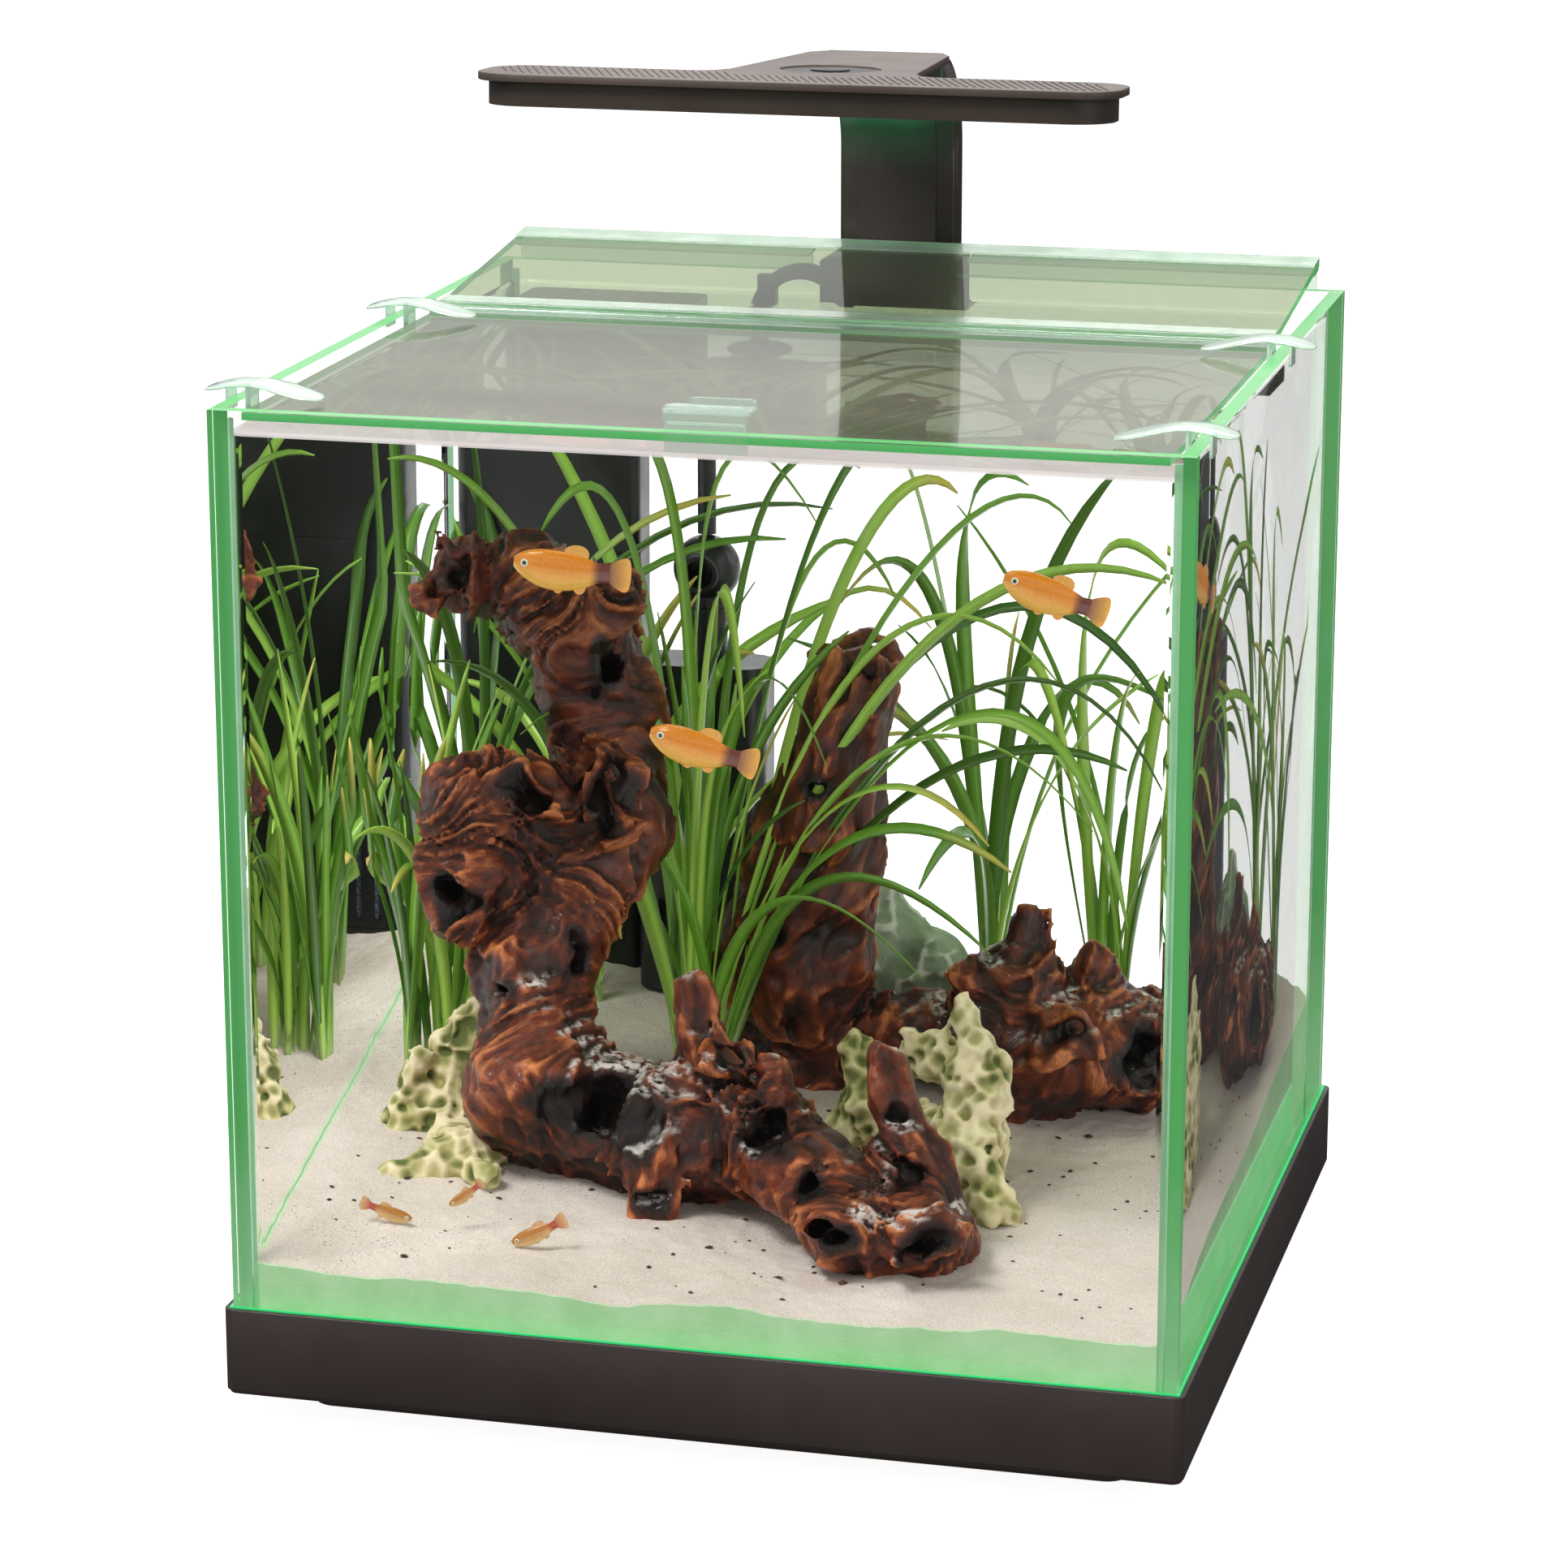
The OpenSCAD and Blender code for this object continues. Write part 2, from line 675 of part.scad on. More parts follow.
// Contents. Soft and natural shapes stay plain here
module sand_bed() {
    cells = 20;
    reach = inner_r - 3;
    step = 2 * reach / cells;
    n = cells + 1;
    top = [for (j = [0:cells], i = [0:cells]) let (x = -reach + i * step, y = -reach + j * step)
        [x, y, sand_z(x, y)]];
    bottom = [[-reach, -reach, floor_z], [reach, -reach, floor_z],
        [reach, reach, floor_z], [-reach, reach, floor_z]];
    b = n * n;
    top_faces = [for (j = [0:cells - 1], i = [0:cells - 1], k = [0, 1]) let (a = j * n + i)
        k == 0 ? [a, a + n, a + 1] : [a + 1, a + n, a + n + 1]];
    front = concat([for (i = [0:cells]) i], [b + 1, b]);
    back = concat([for (i = [cells:-1:0]) cells * n + i], [b + 3, b + 2]);
    left = concat([for (j = [cells:-1:0]) j * n], [b, b + 3]);
    right = concat([for (j = [0:cells]) j * n + cells], [b + 2, b + 1]);
    color([0.9, 0.87, 0.84])
        polyhedron(concat(top, bottom),
            concat(top_faces, [front, back, left, right, [b, b + 1, b + 2, b + 3]]));
}

// A limb is a list of [x, y, z, radius], joined by hulls of neighbouring balls
module limb(balls) {
    for (i = [0:len(balls) - 2]) hull() for (k = [i, i + 1])
        translate([balls[k][0], balls[k][1], balls[k][2]]) sphere(balls[k][3], $fn = 16);
}

module driftwood_main() {
    color([0.36, 0.15, 0.09]) {
        limb([[-128, -5, 318, 19], [-92, 2, 300, 27], [-76, 14, 256, 25], [-74, 8, 214, 27]]);
        limb([[-122, -18, 224, 27], [-90, -12, 206, 30], [-98, -42, 160, 25], [-90, -58, 112, 33]]);
        limb([[-90, -58, 112, 33], [-38, -70, 104, 30], [0, -72, 108, 27],
            [28, -92, 98, 24], [72, -116, 90, 21]]);
        limb([[-26, -62, 168, 7], [-22, -66, 124, 18]]);
        limb([[56, -88, 148, 8], [70, -94, 112, 17]]);
        limb([[48, -126, 88, 20], [72, -116, 90, 21]]);
    }
}

module driftwood_rear() {
    color([0.32, 0.13, 0.08]) {
        limb([[20, 60, 272, 20], [4, 62, 215, 28], [-12, 72, 150, 34], [-4, 84, 112, 30]]);
        limb([[-4, 84, 112, 30], [48, 84, 122, 22], [96, 74, 118, 36], [130, 98, 118, 28]]);
        limb([[92, 74, 172, 11], [96, 74, 118, 36]]);
    }
}

module stone(points) {
    hull() for (p = points) translate([p[0], p[1], p[2]]) sphere(p[3], $fn = 10);
}

module rock_left() {
    color([0.62, 0.66, 0.5]) {
        stone([[-126, -14, 152, 7], [-148, -30, 100, 16], [-116, -30, 100, 14], [-138, -4, 104, 14]]);
        stone([[-150, -88, 84, 8], [-112, -82, 84, 8], [-146, -40, 92, 12], [-112, -40, 88, 10]]);
    }
}

module rock_right() {
    color([0.84, 0.84, 0.6]) {
        stone([[78, -24, 156, 6], [30, -2, 128, 10], [30, 2, 92, 12], [92, -30, 96, 14]]);
        stone([[92, -30, 96, 14], [100, -56, 82, 9], [70, -20, 84, 12]]);
    }
}

module rock_rear() {
    color([0.45, 0.55, 0.48])
        stone([[20, 128, 168, 8], [-4, 128, 128, 14], [46, 130, 124, 16], [22, 142, 128, 16]]);
}

// A leaf blade: a thin ribbon that rises from its root and arches over, as a four-sided sweep
function blade_point(root, turn, reach, rise, s) = [
    root[0] + reach * pow(s, 1.7) * cos(turn),
    root[1] + reach * pow(s, 1.7) * sin(turn),
    root[2] + rise * sin(115 * s)
];

module blade(root, turn, reach, rise, width) {
    rings = 9;
    thick = 0.9;
    side = [-sin(turn), cos(turn), 0];
    points = [for (i = [0:rings]) let (
        s = i / rings,
        p = blade_point(root, turn, reach, rise, s),
        ahead = blade_point(root, turn, reach, rise, s + 0.01) - p,
        flat = cross(ahead, side) / norm(ahead),
        spread = width / 2 * sqrt(1 - 0.9 * s * s))
        each [p + side * spread, p + flat * thick, p - side * spread, p - flat * thick]];
    walls = [for (i = [0:rings - 1], k = [0:3]) let (a = 4 * i + k, b = 4 * i + (k + 1) % 4)
        each [[a, a + 4, b], [b, a + 4, b + 4]]];
    last = 4 * rings;
    polyhedron(points, concat(walls,
        [[0, 1, 2], [0, 2, 3], [last + 2, last + 1, last], [last + 3, last + 2, last]]));
}

module clump(x, y, count, reach, rise, turn0) {
    root_z = sand_z(x, y) - 6;
    color([0.42, 0.62, 0.2]) {
        translate([x, y, root_z - 4]) cylinder(r1 = 7, r2 = 4, h = 18);
        for (i = [0:count - 1]) let (turn = turn0 + i * 360 / count + 23 * (i % 2))
            blade([x + 3 * cos(turn), y + 3 * sin(turn), root_z], turn,
                reach * (0.6 + 0.4 * ((i * 5) % 7) / 6),
                rise * (0.7 + 0.3 * ((i * 3) % 5) / 4), 6);
    }
}

module plants_left() {
    clump(-163, 22, 7, 18, 170, 10);
    clump(-150, 60, 7, 34, 190, 40);
}

module plants_centre() {
    clump(-62, 112, 9, 44, 200, 0);
    clump(-40, 40, 9, 62, 180, 20);
}

module plants_right() {
    clump(66, 150, 8, 24, 200, 15);
    clump(118, 154, 7, 22, 190, 50);
}

front_pane();
rear_pane();
left_pane();
right_pane();
bottom_pane();
silicone_seams();
base_shell();
light_guide_rim();
led_strip_boards();
led_chips();
foam_mat();
plinth_plate();
rubber_pads();
plinth_screws();
controller_board();
power_inlet();
lid_front_panel();
lid_rear_panel();
hinge_web();
hinge_front_channel();
hinge_rear_channel();
lid_handle();
rear_edge_strip();
lid_clip_front_left();
lid_clip_front_right();
lid_clip_mid_left();
lid_clip_mid_right();
lamp_top_cover();
lamp_lower_housing();
lamp_diffuser();
lamp_led_board();
lamp_leds();
lamp_button();
lamp_button_ring();
lamp_arm_body();
lamp_arm_front_panel();
lamp_screws();
clamp_body();
clamp_lining();
clamp_pad();
clamp_screw();
filter_body();
filter_cover();
filter_grille();
filter_cartridge();
pump_body();
pump_impeller();
impeller_shaft();
flow_nozzle();
pump_hanger();
suction_cups();
sand_bed();
driftwood_main();
driftwood_rear();
rock_left();
rock_right();
rock_rear();
plants_left();
plants_centre();
plants_right();
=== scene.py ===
import math

import bmesh
import bpy
import numpy as np
from mathutils import Matrix, Vector


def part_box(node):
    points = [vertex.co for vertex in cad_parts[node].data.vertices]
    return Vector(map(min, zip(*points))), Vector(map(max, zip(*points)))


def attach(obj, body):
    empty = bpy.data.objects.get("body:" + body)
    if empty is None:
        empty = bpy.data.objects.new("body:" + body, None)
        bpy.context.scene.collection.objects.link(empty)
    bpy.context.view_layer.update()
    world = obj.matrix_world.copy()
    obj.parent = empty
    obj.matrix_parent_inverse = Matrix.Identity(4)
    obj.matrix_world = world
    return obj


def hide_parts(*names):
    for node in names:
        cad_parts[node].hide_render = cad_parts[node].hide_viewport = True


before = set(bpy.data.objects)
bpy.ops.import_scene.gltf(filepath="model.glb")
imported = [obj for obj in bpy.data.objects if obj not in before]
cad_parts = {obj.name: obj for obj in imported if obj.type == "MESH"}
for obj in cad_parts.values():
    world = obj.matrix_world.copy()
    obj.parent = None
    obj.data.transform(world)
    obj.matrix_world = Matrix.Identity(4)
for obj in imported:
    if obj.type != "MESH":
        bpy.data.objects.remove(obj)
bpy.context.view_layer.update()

MM = 0.001
SEED = 7


def box_mm(node):
    """The low and high corners of a CAD node at rest, in millimetres."""
    return [Vector(corner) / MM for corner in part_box(node)]


# Places that follow the CAD frame, in millimetres
RIM_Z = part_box("front_pane")[1].z / MM
INNER_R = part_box("front_pane")[1].y / -MM
FLOOR_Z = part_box("bottom_pane")[1].z / MM
PANE_T = 6.0
WATER_Z = RIM_Z - 10.5
SAND_REACH = INNER_R - 0.7
WATER_REACH = INNER_R - 0.3


# ---------------------------------------------------------------- small tools

def add_mesh(name, points, faces, smooth=True):
    """A mesh object from points in millimetres."""
    mesh = bpy.data.meshes.new(name)
    mesh.from_pydata((np.asarray(points, float) * MM).tolist(), [], [list(map(int, f)) for f in faces])
    mesh.validate()
    if smooth:
        mesh.polygons.foreach_set("use_smooth", [True] * len(mesh.polygons))
    obj = bpy.data.objects.new(name, mesh)
    bpy.context.scene.collection.objects.link(obj)
    return obj


def point_attribute(obj, name, values):
    attribute = obj.data.attributes.new(name, "FLOAT", "POINT")
    attribute.data.foreach_set("value", np.asarray(values, np.float32))


def place(obj, body, slot, material, *nodes):
    """The piece rides on a body, takes its material and stands for the CAD nodes named."""
    obj.data.materials.clear()
    obj.data.materials.append(material)
    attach(obj, body)
    if nodes:
        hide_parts(*nodes)


def tube_faces(rings, sides):
    """Faces of a closed tube whose points come ring by ring, with a cap at each end."""
    faces = [(i * sides + k, i * sides + (k + 1) % sides, (i + 1) * sides + (k + 1) % sides,
              (i + 1) * sides + k) for i in range(rings - 1) for k in range(sides)]
    faces.append(tuple(range(sides))[::-1])
    faces.append(tuple(range((rings - 1) * sides, rings * sides)))
    return faces


def apply_modifiers(obj):
    bpy.context.view_layer.update()
    done = bpy.data.meshes.new_from_object(obj.evaluated_get(bpy.context.evaluated_depsgraph_get()))
    obj.modifiers.clear()
    obj.data = done


def sand_height(x, y):
    """The sand's surface, the same slope as the CAD bed's."""
    slope = (y + INNER_R) / (2 * INNER_R) * (52 - 26 * x / INNER_R)
    ripple = 1.2 * np.sin(np.radians(3 * x + 40)) * np.cos(np.radians(2 * y))
    return 62 + 3 * (x / INNER_R) ** 2 + slope + ripple


# ---------------------------------------------------------------- noise

def lattice(i, j, k, seed):
    """A repeatable random value from 0 to 1 at each whole-number lattice point."""
    h = (i * 374761393 + j * 668265263 + k * 1440662683 + seed * 974634777) & 0xFFFFFFFF
    h = ((h ^ (h >> 13)) * 1274126177) & 0xFFFFFFFF
    return ((h ^ (h >> 16)) & 0xFFFF) / 65535.0


def value_noise(p, seed):
    """Smooth noise from -1 to 1."""
    cell = np.floor(p).astype(np.int64)
    f = p - cell
    f = f * f * (3 - 2 * f)
    total = np.zeros(len(p))
    for dx in (0, 1):
        for dy in (0, 1):
            for dz in (0, 1):
                w = np.abs(1 - dx - f[:, 0]) * np.abs(1 - dy - f[:, 1]) * np.abs(1 - dz - f[:, 2])
                total += w * lattice(cell[:, 0] + dx, cell[:, 1] + dy, cell[:, 2] + dz, seed)
    return 2 * total - 1


def fractal(p, size, octaves, seed):
    total = np.zeros(len(p))
    for octave in range(octaves):
        total += value_noise(p * 2 ** octave / size, seed + octave) / 2 ** octave
    return total


def ridged(p, size, octaves, seed):
    """Sharp crests and round valleys, from 0 to 1."""
    total = np.zeros(len(p))
    for octave in range(octaves):
        total += (1 - np.abs(value_noise(p * 2 ** octave / size, seed + octave))) ** 2 / 2 ** octave
    return total / (2 - 0.5 ** (octaves - 1))


def cell_distance(p, size, seed):
    """Distance to the nearest of a set of scattered points, about 0 to 1."""
    q = p / size
    cell = np.floor(q).astype(np.int64)
    best = np.full(len(p), 9.0)
    for dx in (-1, 0, 1):
        for dy in (-1, 0, 1):
            for dz in (-1, 0, 1):
                c = cell + np.array([dx, dy, dz])
                offset = np.stack([lattice(c[:, 0], c[:, 1], c[:, 2], seed + s) for s in range(3)], 1)
                best = np.minimum(best, np.linalg.norm(c + offset - q, axis=1))
    return best


def nudge(p, amount, size, seed):
    """The points moved about by smooth noise."""
    return p + amount * np.stack([value_noise(p / size, seed + k) for k in range(3)], 1)


# ---------------------------------------------------------------- solid shapes from distance fields

def surface_net(field, low, step):
    """Points and quads of the surface where the field is zero; inside is negative."""
    inside = field < 0
    shape = np.array(field.shape) - 1
    total = np.zeros((*shape, 3))
    count = np.zeros(shape)
    crossings = []
    for axis in range(3):
        ahead = [slice(None)] * 3
        here = [slice(None)] * 3
        ahead[axis] = slice(1, None)
        here[axis] = slice(None, -1)
        crossed = inside[tuple(here)] != inside[tuple(ahead)]
        index = np.argwhere(crossed)
        a = field[tuple(here)][crossed]
        b = field[tuple(ahead)][crossed]
        at = index.astype(float)
        at[:, axis] += a / (a - b)
        others = [k for k in range(3) if k != axis]
        ring = []
        for o1, o2 in ((0, 0), (1, 0), (1, 1), (0, 1)):
            cell = index.copy()
            cell[:, others[0]] -= o1
            cell[:, others[1]] -= o2
            ok = np.all((cell >= 0) & (cell < shape), axis=1)
            np.add.at(total, tuple(cell[ok].T), at[ok])
            np.add.at(count, tuple(cell[ok].T), 1)
            ring.append((cell, ok))
        crossings.append((ring, inside[tuple(here)][crossed], axis))
    used = count > 0
    number = np.full(shape, -1)
    number[used] = np.arange(used.sum())
    points = total[used] / count[used][:, None] * step + low
    faces = []
    for ring, starts_inside, axis in crossings:
        ok = np.all([r[1] for r in ring], axis=0)
        quad = np.stack([number[tuple(r[0][ok].T)] for r in ring], 1)
        flip = starts_inside[ok] == (axis == 1)
        quad[flip] = quad[flip][:, ::-1]
        faces.append(quad)
    return points, np.concatenate(faces)


def smooth_min(a, b, blend):
    h = np.clip(0.5 + 0.5 * (b - a) / blend, 0, 1)
    return b + (a - b) * h - blend * h * (1 - h)


def capsule(p, a, b):
    """Distance to a tapered limb between two balls given as (x, y, z, radius)."""
    a, b = np.array(a, float), np.array(b, float)
    along = b[:3] - a[:3]
    t = np.clip(((p - a[:3]) @ along) / max(along @ along, 1e-9), 0, 1)
    return np.linalg.norm(p - a[:3] - t[:, None] * along, axis=1) - (a[3] + (b[3] - a[3]) * t)


def warped(p):
    """The same points nudged about, so that round cutters leave uneven hollows."""
    return nudge(p, 8.0, 13, SEED + 101)


def ring_distance(p, centre, facing, radius, tube):
    """Distance to a ring that faces one way, such as the rolled rim of a hollow stub."""
    axis = np.array(facing, float) / np.linalg.norm(facing)
    q = p - np.array(centre, float)
    height = q @ axis
    across = np.linalg.norm(q - height[:, None] * axis, axis=1)
    return np.hypot(across - radius, height) - tube


def grow(name, limbs, pits, step, blend, relief, rims=(), margin=8):
    """A solid of blended limbs with rims and pits, roughened by relief(points, direction)."""
    balls = np.array([ball for limb in limbs for ball in limb], float)
    low = (balls[:, :3] - balls[:, 3:]).min(0) - margin
    high = (balls[:, :3] + balls[:, 3:]).max(0) + margin
    axes = [np.arange(low[k], high[k] + step, step) for k in range(3)]
    grid = np.stack(np.meshgrid(*axes, indexing="ij"), -1)
    p = grid.reshape(-1, 3)
    d = np.full(len(p), 99.0)
    for limb in limbs:
        for a, b in zip(limb[:-1], limb[1:]):
            d = smooth_min(d, capsule(p, a, b), blend)
    close = np.abs(d) < 34
    near_points = warped(p[close])
    near = d[close]
    for rim in rims:
        near = smooth_min(near, ring_distance(near_points, *rim), 4.0)
    for a, b in pits:
        near = -smooth_min(-near, capsule(near_points, a, b), 3.0)
    d[close] = near
    band = np.abs(d) < margin
    d[band] -= relief(p[band], limb_direction(p[band], limbs))
    points, faces = surface_net(d.reshape(grid.shape[:3]), low, step)
    obj = add_mesh(name, points, faces)
    keep_largest(obj)
    return obj


def keep_largest(obj):
    """Drops loose crumbs, so that the piece is one closed surface."""
    bm = bmesh.new()
    bm.from_mesh(obj.data)
    left = set(bm.verts)
    groups = []
    while left:
        stack = [left.pop()]
        group = list(stack)
        while stack:
            for edge in stack.pop().link_edges:
                for v in edge.verts:
                    if v in left:
                        left.discard(v)
                        stack.append(v)
                        group.append(v)
        groups.append(group)
    groups.sort(key=len)
    for group in groups[:-1]:
        bmesh.ops.delete(bm, geom=group, context="VERTS")
    bm.to_mesh(obj.data)
    bm.free()


def mesh_points(obj):
    co = np.zeros(len(obj.data.vertices) * 3)
    obj.data.vertices.foreach_get("co", co)
    return co.reshape(-1, 3) / MM


# ---------------------------------------------------------------- materials

class Shader:
    """Short calls for the nodes that repeat, on a new material or on one that is already made."""

    def __init__(self, name, material=None):
        self.material = material or bpy.data.materials.new(name)
        self.material.use_nodes = True
        self.tree = self.material.node_tree
        self.surface = self.tree.nodes["Principled BSDF"]
        self.output = self.tree.nodes["Material Output"]
        self.place = self.node("ShaderNodeTexCoord").outputs["Object"]

    def node(self, kind, **settings):
        made = self.tree.nodes.new(kind)
        for key, value in settings.items():
            setattr(made, key, value)
        return made

    def link(self, source, target):
        self.tree.links.new(source, target)

    def set(self, **values):
        names = {"color": "Base Color", "rough": "Roughness", "metal": "Metallic", "ior": "IOR",
                 "glass": "Transmission Weight", "coat": "Coat Weight", "coat_rough": "Coat Roughness",
                 "specular": "Specular IOR Level", "sss": "Subsurface Weight", "alpha": "Alpha",
                 "glow": "Emission Strength", "glow_color": "Emission Color", "sheen": "Sheen Weight"}
        for key, value in values.items():
            if isinstance(value, tuple) and len(value) == 3:
                value = (*value, 1.0)
            self.surface.inputs[names[key]].default_value = value
        return self

    def feed(self, source, socket):
        self.link(source, self.surface.inputs[socket])

    def noise(self, scale, detail=4.0, rough=0.55, stretch=(1, 1, 1), at=None):
        mapping = self.node("ShaderNodeMapping")
        mapping.inputs["Scale"].default_value = stretch
        self.link(at or self.place, mapping.inputs["Vector"])
        made = self.node("ShaderNodeTexNoise")
        made.inputs["Scale"].default_value = scale
        made.inputs["Detail"].default_value = detail
        made.inputs["Roughness"].default_value = rough
        self.link(mapping.outputs["Vector"], made.inputs["Vector"])
        return made.outputs["Fac"]

    def cells(self, scale, feature="F1"):
        made = self.node("ShaderNodeTexVoronoi", feature=feature)
        made.inputs["Scale"].default_value = scale
        self.link(self.place, made.inputs["Vector"])
        return made.outputs["Distance"]

    def attribute(self, name, part="Fac"):
        return self.node("ShaderNodeAttribute", attribute_name=name).outputs[part]

    def ramp(self, source, *stops):
        made = self.node("ShaderNodeValToRGB")
        elements = made.color_ramp.elements
        while len(elements) < len(stops):
            elements.new(0.5)
        for element, (at, color) in zip(elements, stops):
            element.position = at
            element.color = (*color, 1.0) if isinstance(color, tuple) else (color, color, color, 1.0)
        self.link(source, made.inputs["Fac"])
        return made.outputs["Color"]

    def math(self, operation, a, b=0.0, c=0.0):
        made = self.node("ShaderNodeMath", operation=operation)
        for socket, value in zip(made.inputs, (a, b, c)):
            if isinstance(value, (int, float)):
                socket.default_value = value
            else:
                self.link(value, socket)
        return made.outputs["Value"]

    def mix(self, factor, a, b, blend="MIX"):
        made = self.node("ShaderNodeMix", data_type="RGBA", blend_type=blend)
        for index, value in ((0, factor), (6, a), (7, b)):
            socket = made.inputs[index]
            if isinstance(value, tuple):
                socket.default_value = (*value, 1.0)
            elif isinstance(value, (int, float)):
                socket.default_value = value
            else:
                self.link(value, socket)
        return made.outputs[2]

    def bump(self, height, strength, distance_mm):
        made = self.node("ShaderNodeBump")
        made.inputs["Strength"].default_value = strength
        made.inputs["Distance"].default_value = distance_mm * MM
        self.link(height, made.inputs["Height"])
        self.feed(made.outputs["Normal"], "Normal")

    def split(self, vector):
        made = self.node("ShaderNodeSeparateXYZ")
        self.link(vector, made.inputs["Vector"])
        return made.outputs

    def normal(self):
        return self.node("ShaderNodeTexCoord").outputs["Normal"]

    def mix_shader(self, factor, first, second):
        made = self.node("ShaderNodeMixShader")
        self.link(factor, made.inputs["Fac"])
        self.link(first, made.inputs[1])
        self.link(second, made.inputs[2])
        return made.outputs["Shader"]

    def clear(self, tint):
        made = self.node("ShaderNodeBsdfTransparent")
        made.inputs["Color"].default_value = (*tint, 1.0)
        return made.outputs["BSDF"]

    def finish(self, shader):
        self.link(shader, self.output.inputs["Surface"])

    def see_through_shadows(self, tint):
        """Light passes straight through, so that what is behind the glass is lit cleanly."""
        path = self.node("ShaderNodeLightPath")
        either = self.math("MAXIMUM", path.outputs["Is Shadow Ray"], path.outputs["Is Diffuse Ray"])
        shader = self.mix_shader(either, self.surface.outputs["BSDF"], self.clear(tint))
        self.finish(shader)
        return shader


def speckled_plastic(name, color, lighter, rough, grain=900.0, coat=0.0):
    """Moulded plastic with a fine spark-eroded grain and faint variation in tone and gloss."""
    s = Shader(name).set(rough=rough, coat=coat, specular=0.45)
    cloud = s.noise(14.0, 3.0)
    s.feed(s.ramp(cloud, (0.3, color), (0.75, lighter)), "Base Color")
    s.feed(s.ramp(s.noise(40.0, 5.0), (0.3, rough - 0.05), (0.8, rough + 0.08)), "Roughness")
    s.bump(s.noise(grain, 2.0), 0.25, 0.12)
    return s.material


def painted_glow_arm_material(name):
    """The lamp arm: dark plastic with the lamp's green light painted on as a glow under the head."""
    s = Shader(name, speckled_plastic(name, (0.028, 0.021, 0.019), (0.040, 0.031, 0.028), 0.38))
    # Painted light: a green glow on the arm's front face, high up under the head, where the lamp's light
    # falls.
    at = s.split(s.place)
    over_rim = s.math("SUBTRACT", at["Z"], (RIM_Z + 45) * MM)
    high = s.ramp(s.math("MULTIPLY", over_rim, 1 / (52 * MM)), (0.0, 0.0), (0.35, 0.18), (0.8, 1.0))
    off_middle = s.math("ABSOLUTE", s.math("SUBTRACT", at["X"], 16 * MM))
    side = s.ramp(off_middle, (0.004, 0.35), (0.02, 1.0))
    front = s.math("LESS_THAN", s.split(s.normal())["Y"], -0.25)
    share = s.math("MULTIPLY", s.math("MULTIPLY", high, side), front)
    s.feed(s.mix(share, (0.0, 0.0, 0.0), (0.004, 0.21, 0.075)), "Emission Color")
    s.set(glow=1.0)
    return s.material


def sheet_glass(name, broad_axis, tint, gloss, edge_glow_color, edge_glow, mist=None):
    """Sheet glass: clear faces with a faint gloss, and cut edges with the base's green light painted on as
    colour and glow.

    Mist is its amount and its two tones, and lies over the faces.
    """
    s = Shader(name).set(rough=0.22, specular=0.7)
    edge = s.math("LESS_THAN", s.math("ABSOLUTE", s.split(s.normal())[broad_axis]), 0.6)
    # Painted light: the edges glow paler and brighter low down, nearest the base's light.
    height = s.math("MULTIPLY", s.split(s.place)["Z"], 1 / (RIM_Z * MM))
    share = s.math("MULTIPLY_ADD", s.noise(26.0, 4.0), 0.2, height)
    pale = tuple(0.22 + 0.8 * c for c in edge_glow_color)
    tone = s.ramp(share, (0.10, pale), (0.42, edge_glow_color), (1.0, edge_glow_color))
    s.feed(tone, "Base Color")
    s.feed(tone, "Emission Color")
    s.set(glow=edge_glow)
    mirror = s.node("ShaderNodeBsdfGlossy")
    mirror.inputs["Roughness"].default_value = 0.02
    fresnel = s.node("ShaderNodeFresnel")
    fresnel.inputs["IOR"].default_value = 1.5
    outside = s.math("SUBTRACT", 1.0, s.node("ShaderNodeNewGeometry").outputs["Backfacing"])
    sheen = s.math("MULTIPLY", s.math("MULTIPLY", fresnel.outputs["Fac"], gloss), outside)
    face = s.mix_shader(sheen, s.clear(tint), mirror.outputs["BSDF"])
    if mist:
        share, film = mist_film(s, *mist)
        face = s.mix_shader(share, face, film)
    s.finish(s.mix_shader(edge, face, s.surface.outputs["BSDF"]))
    return s.material


def mist_film(s, amount, low, high):
    """Streaks of condensation: their share of the surface, and their shader between two tones."""
    share = s.ramp(s.noise(7.0, 6.0, 0.6, (0.5, 1.6, 1)), (0.3, amount * 0.8), (0.75, amount * 1.15))
    film = s.node("ShaderNodeBsdfPrincipled")
    film.inputs["Roughness"].default_value = 0.1
    film.inputs["IOR"].default_value = 1.9
    tone = s.ramp(s.noise(18.0, 6.0, 0.6, (0.4, 1.6, 1)), (0.3, low), (0.75, high))
    s.link(tone, film.inputs["Base Color"])
    return share, film.outputs["BSDF"]


def vinyl_material(name, color, clear):
    s = Shader(name).set(color=color, rough=0.12, glass=clear, ior=1.45, coat=0.3)
    s.feed(s.ramp(s.noise(60.0, 3.0), (0.3, 0.08), (0.8, 0.25)), "Roughness")
    s.bump(s.noise(120.0, 3.0), 0.15, 0.3)
    s.see_through_shadows((0.9, 0.95, 0.92))
    return s.material


def silicone_material():
    s = Shader("silicone").set(color=(0.86, 0.9, 0.87), rough=0.3, glass=0.6, ior=1.4)
    s.feed(s.ramp(s.noise(80.0, 4.0), (0.3, (0.36, 0.70, 0.42)), (0.8, (0.50, 0.80, 0.54))), "Base Color")
    s.see_through_shadows((0.85, 0.9, 0.87))
    return s.material


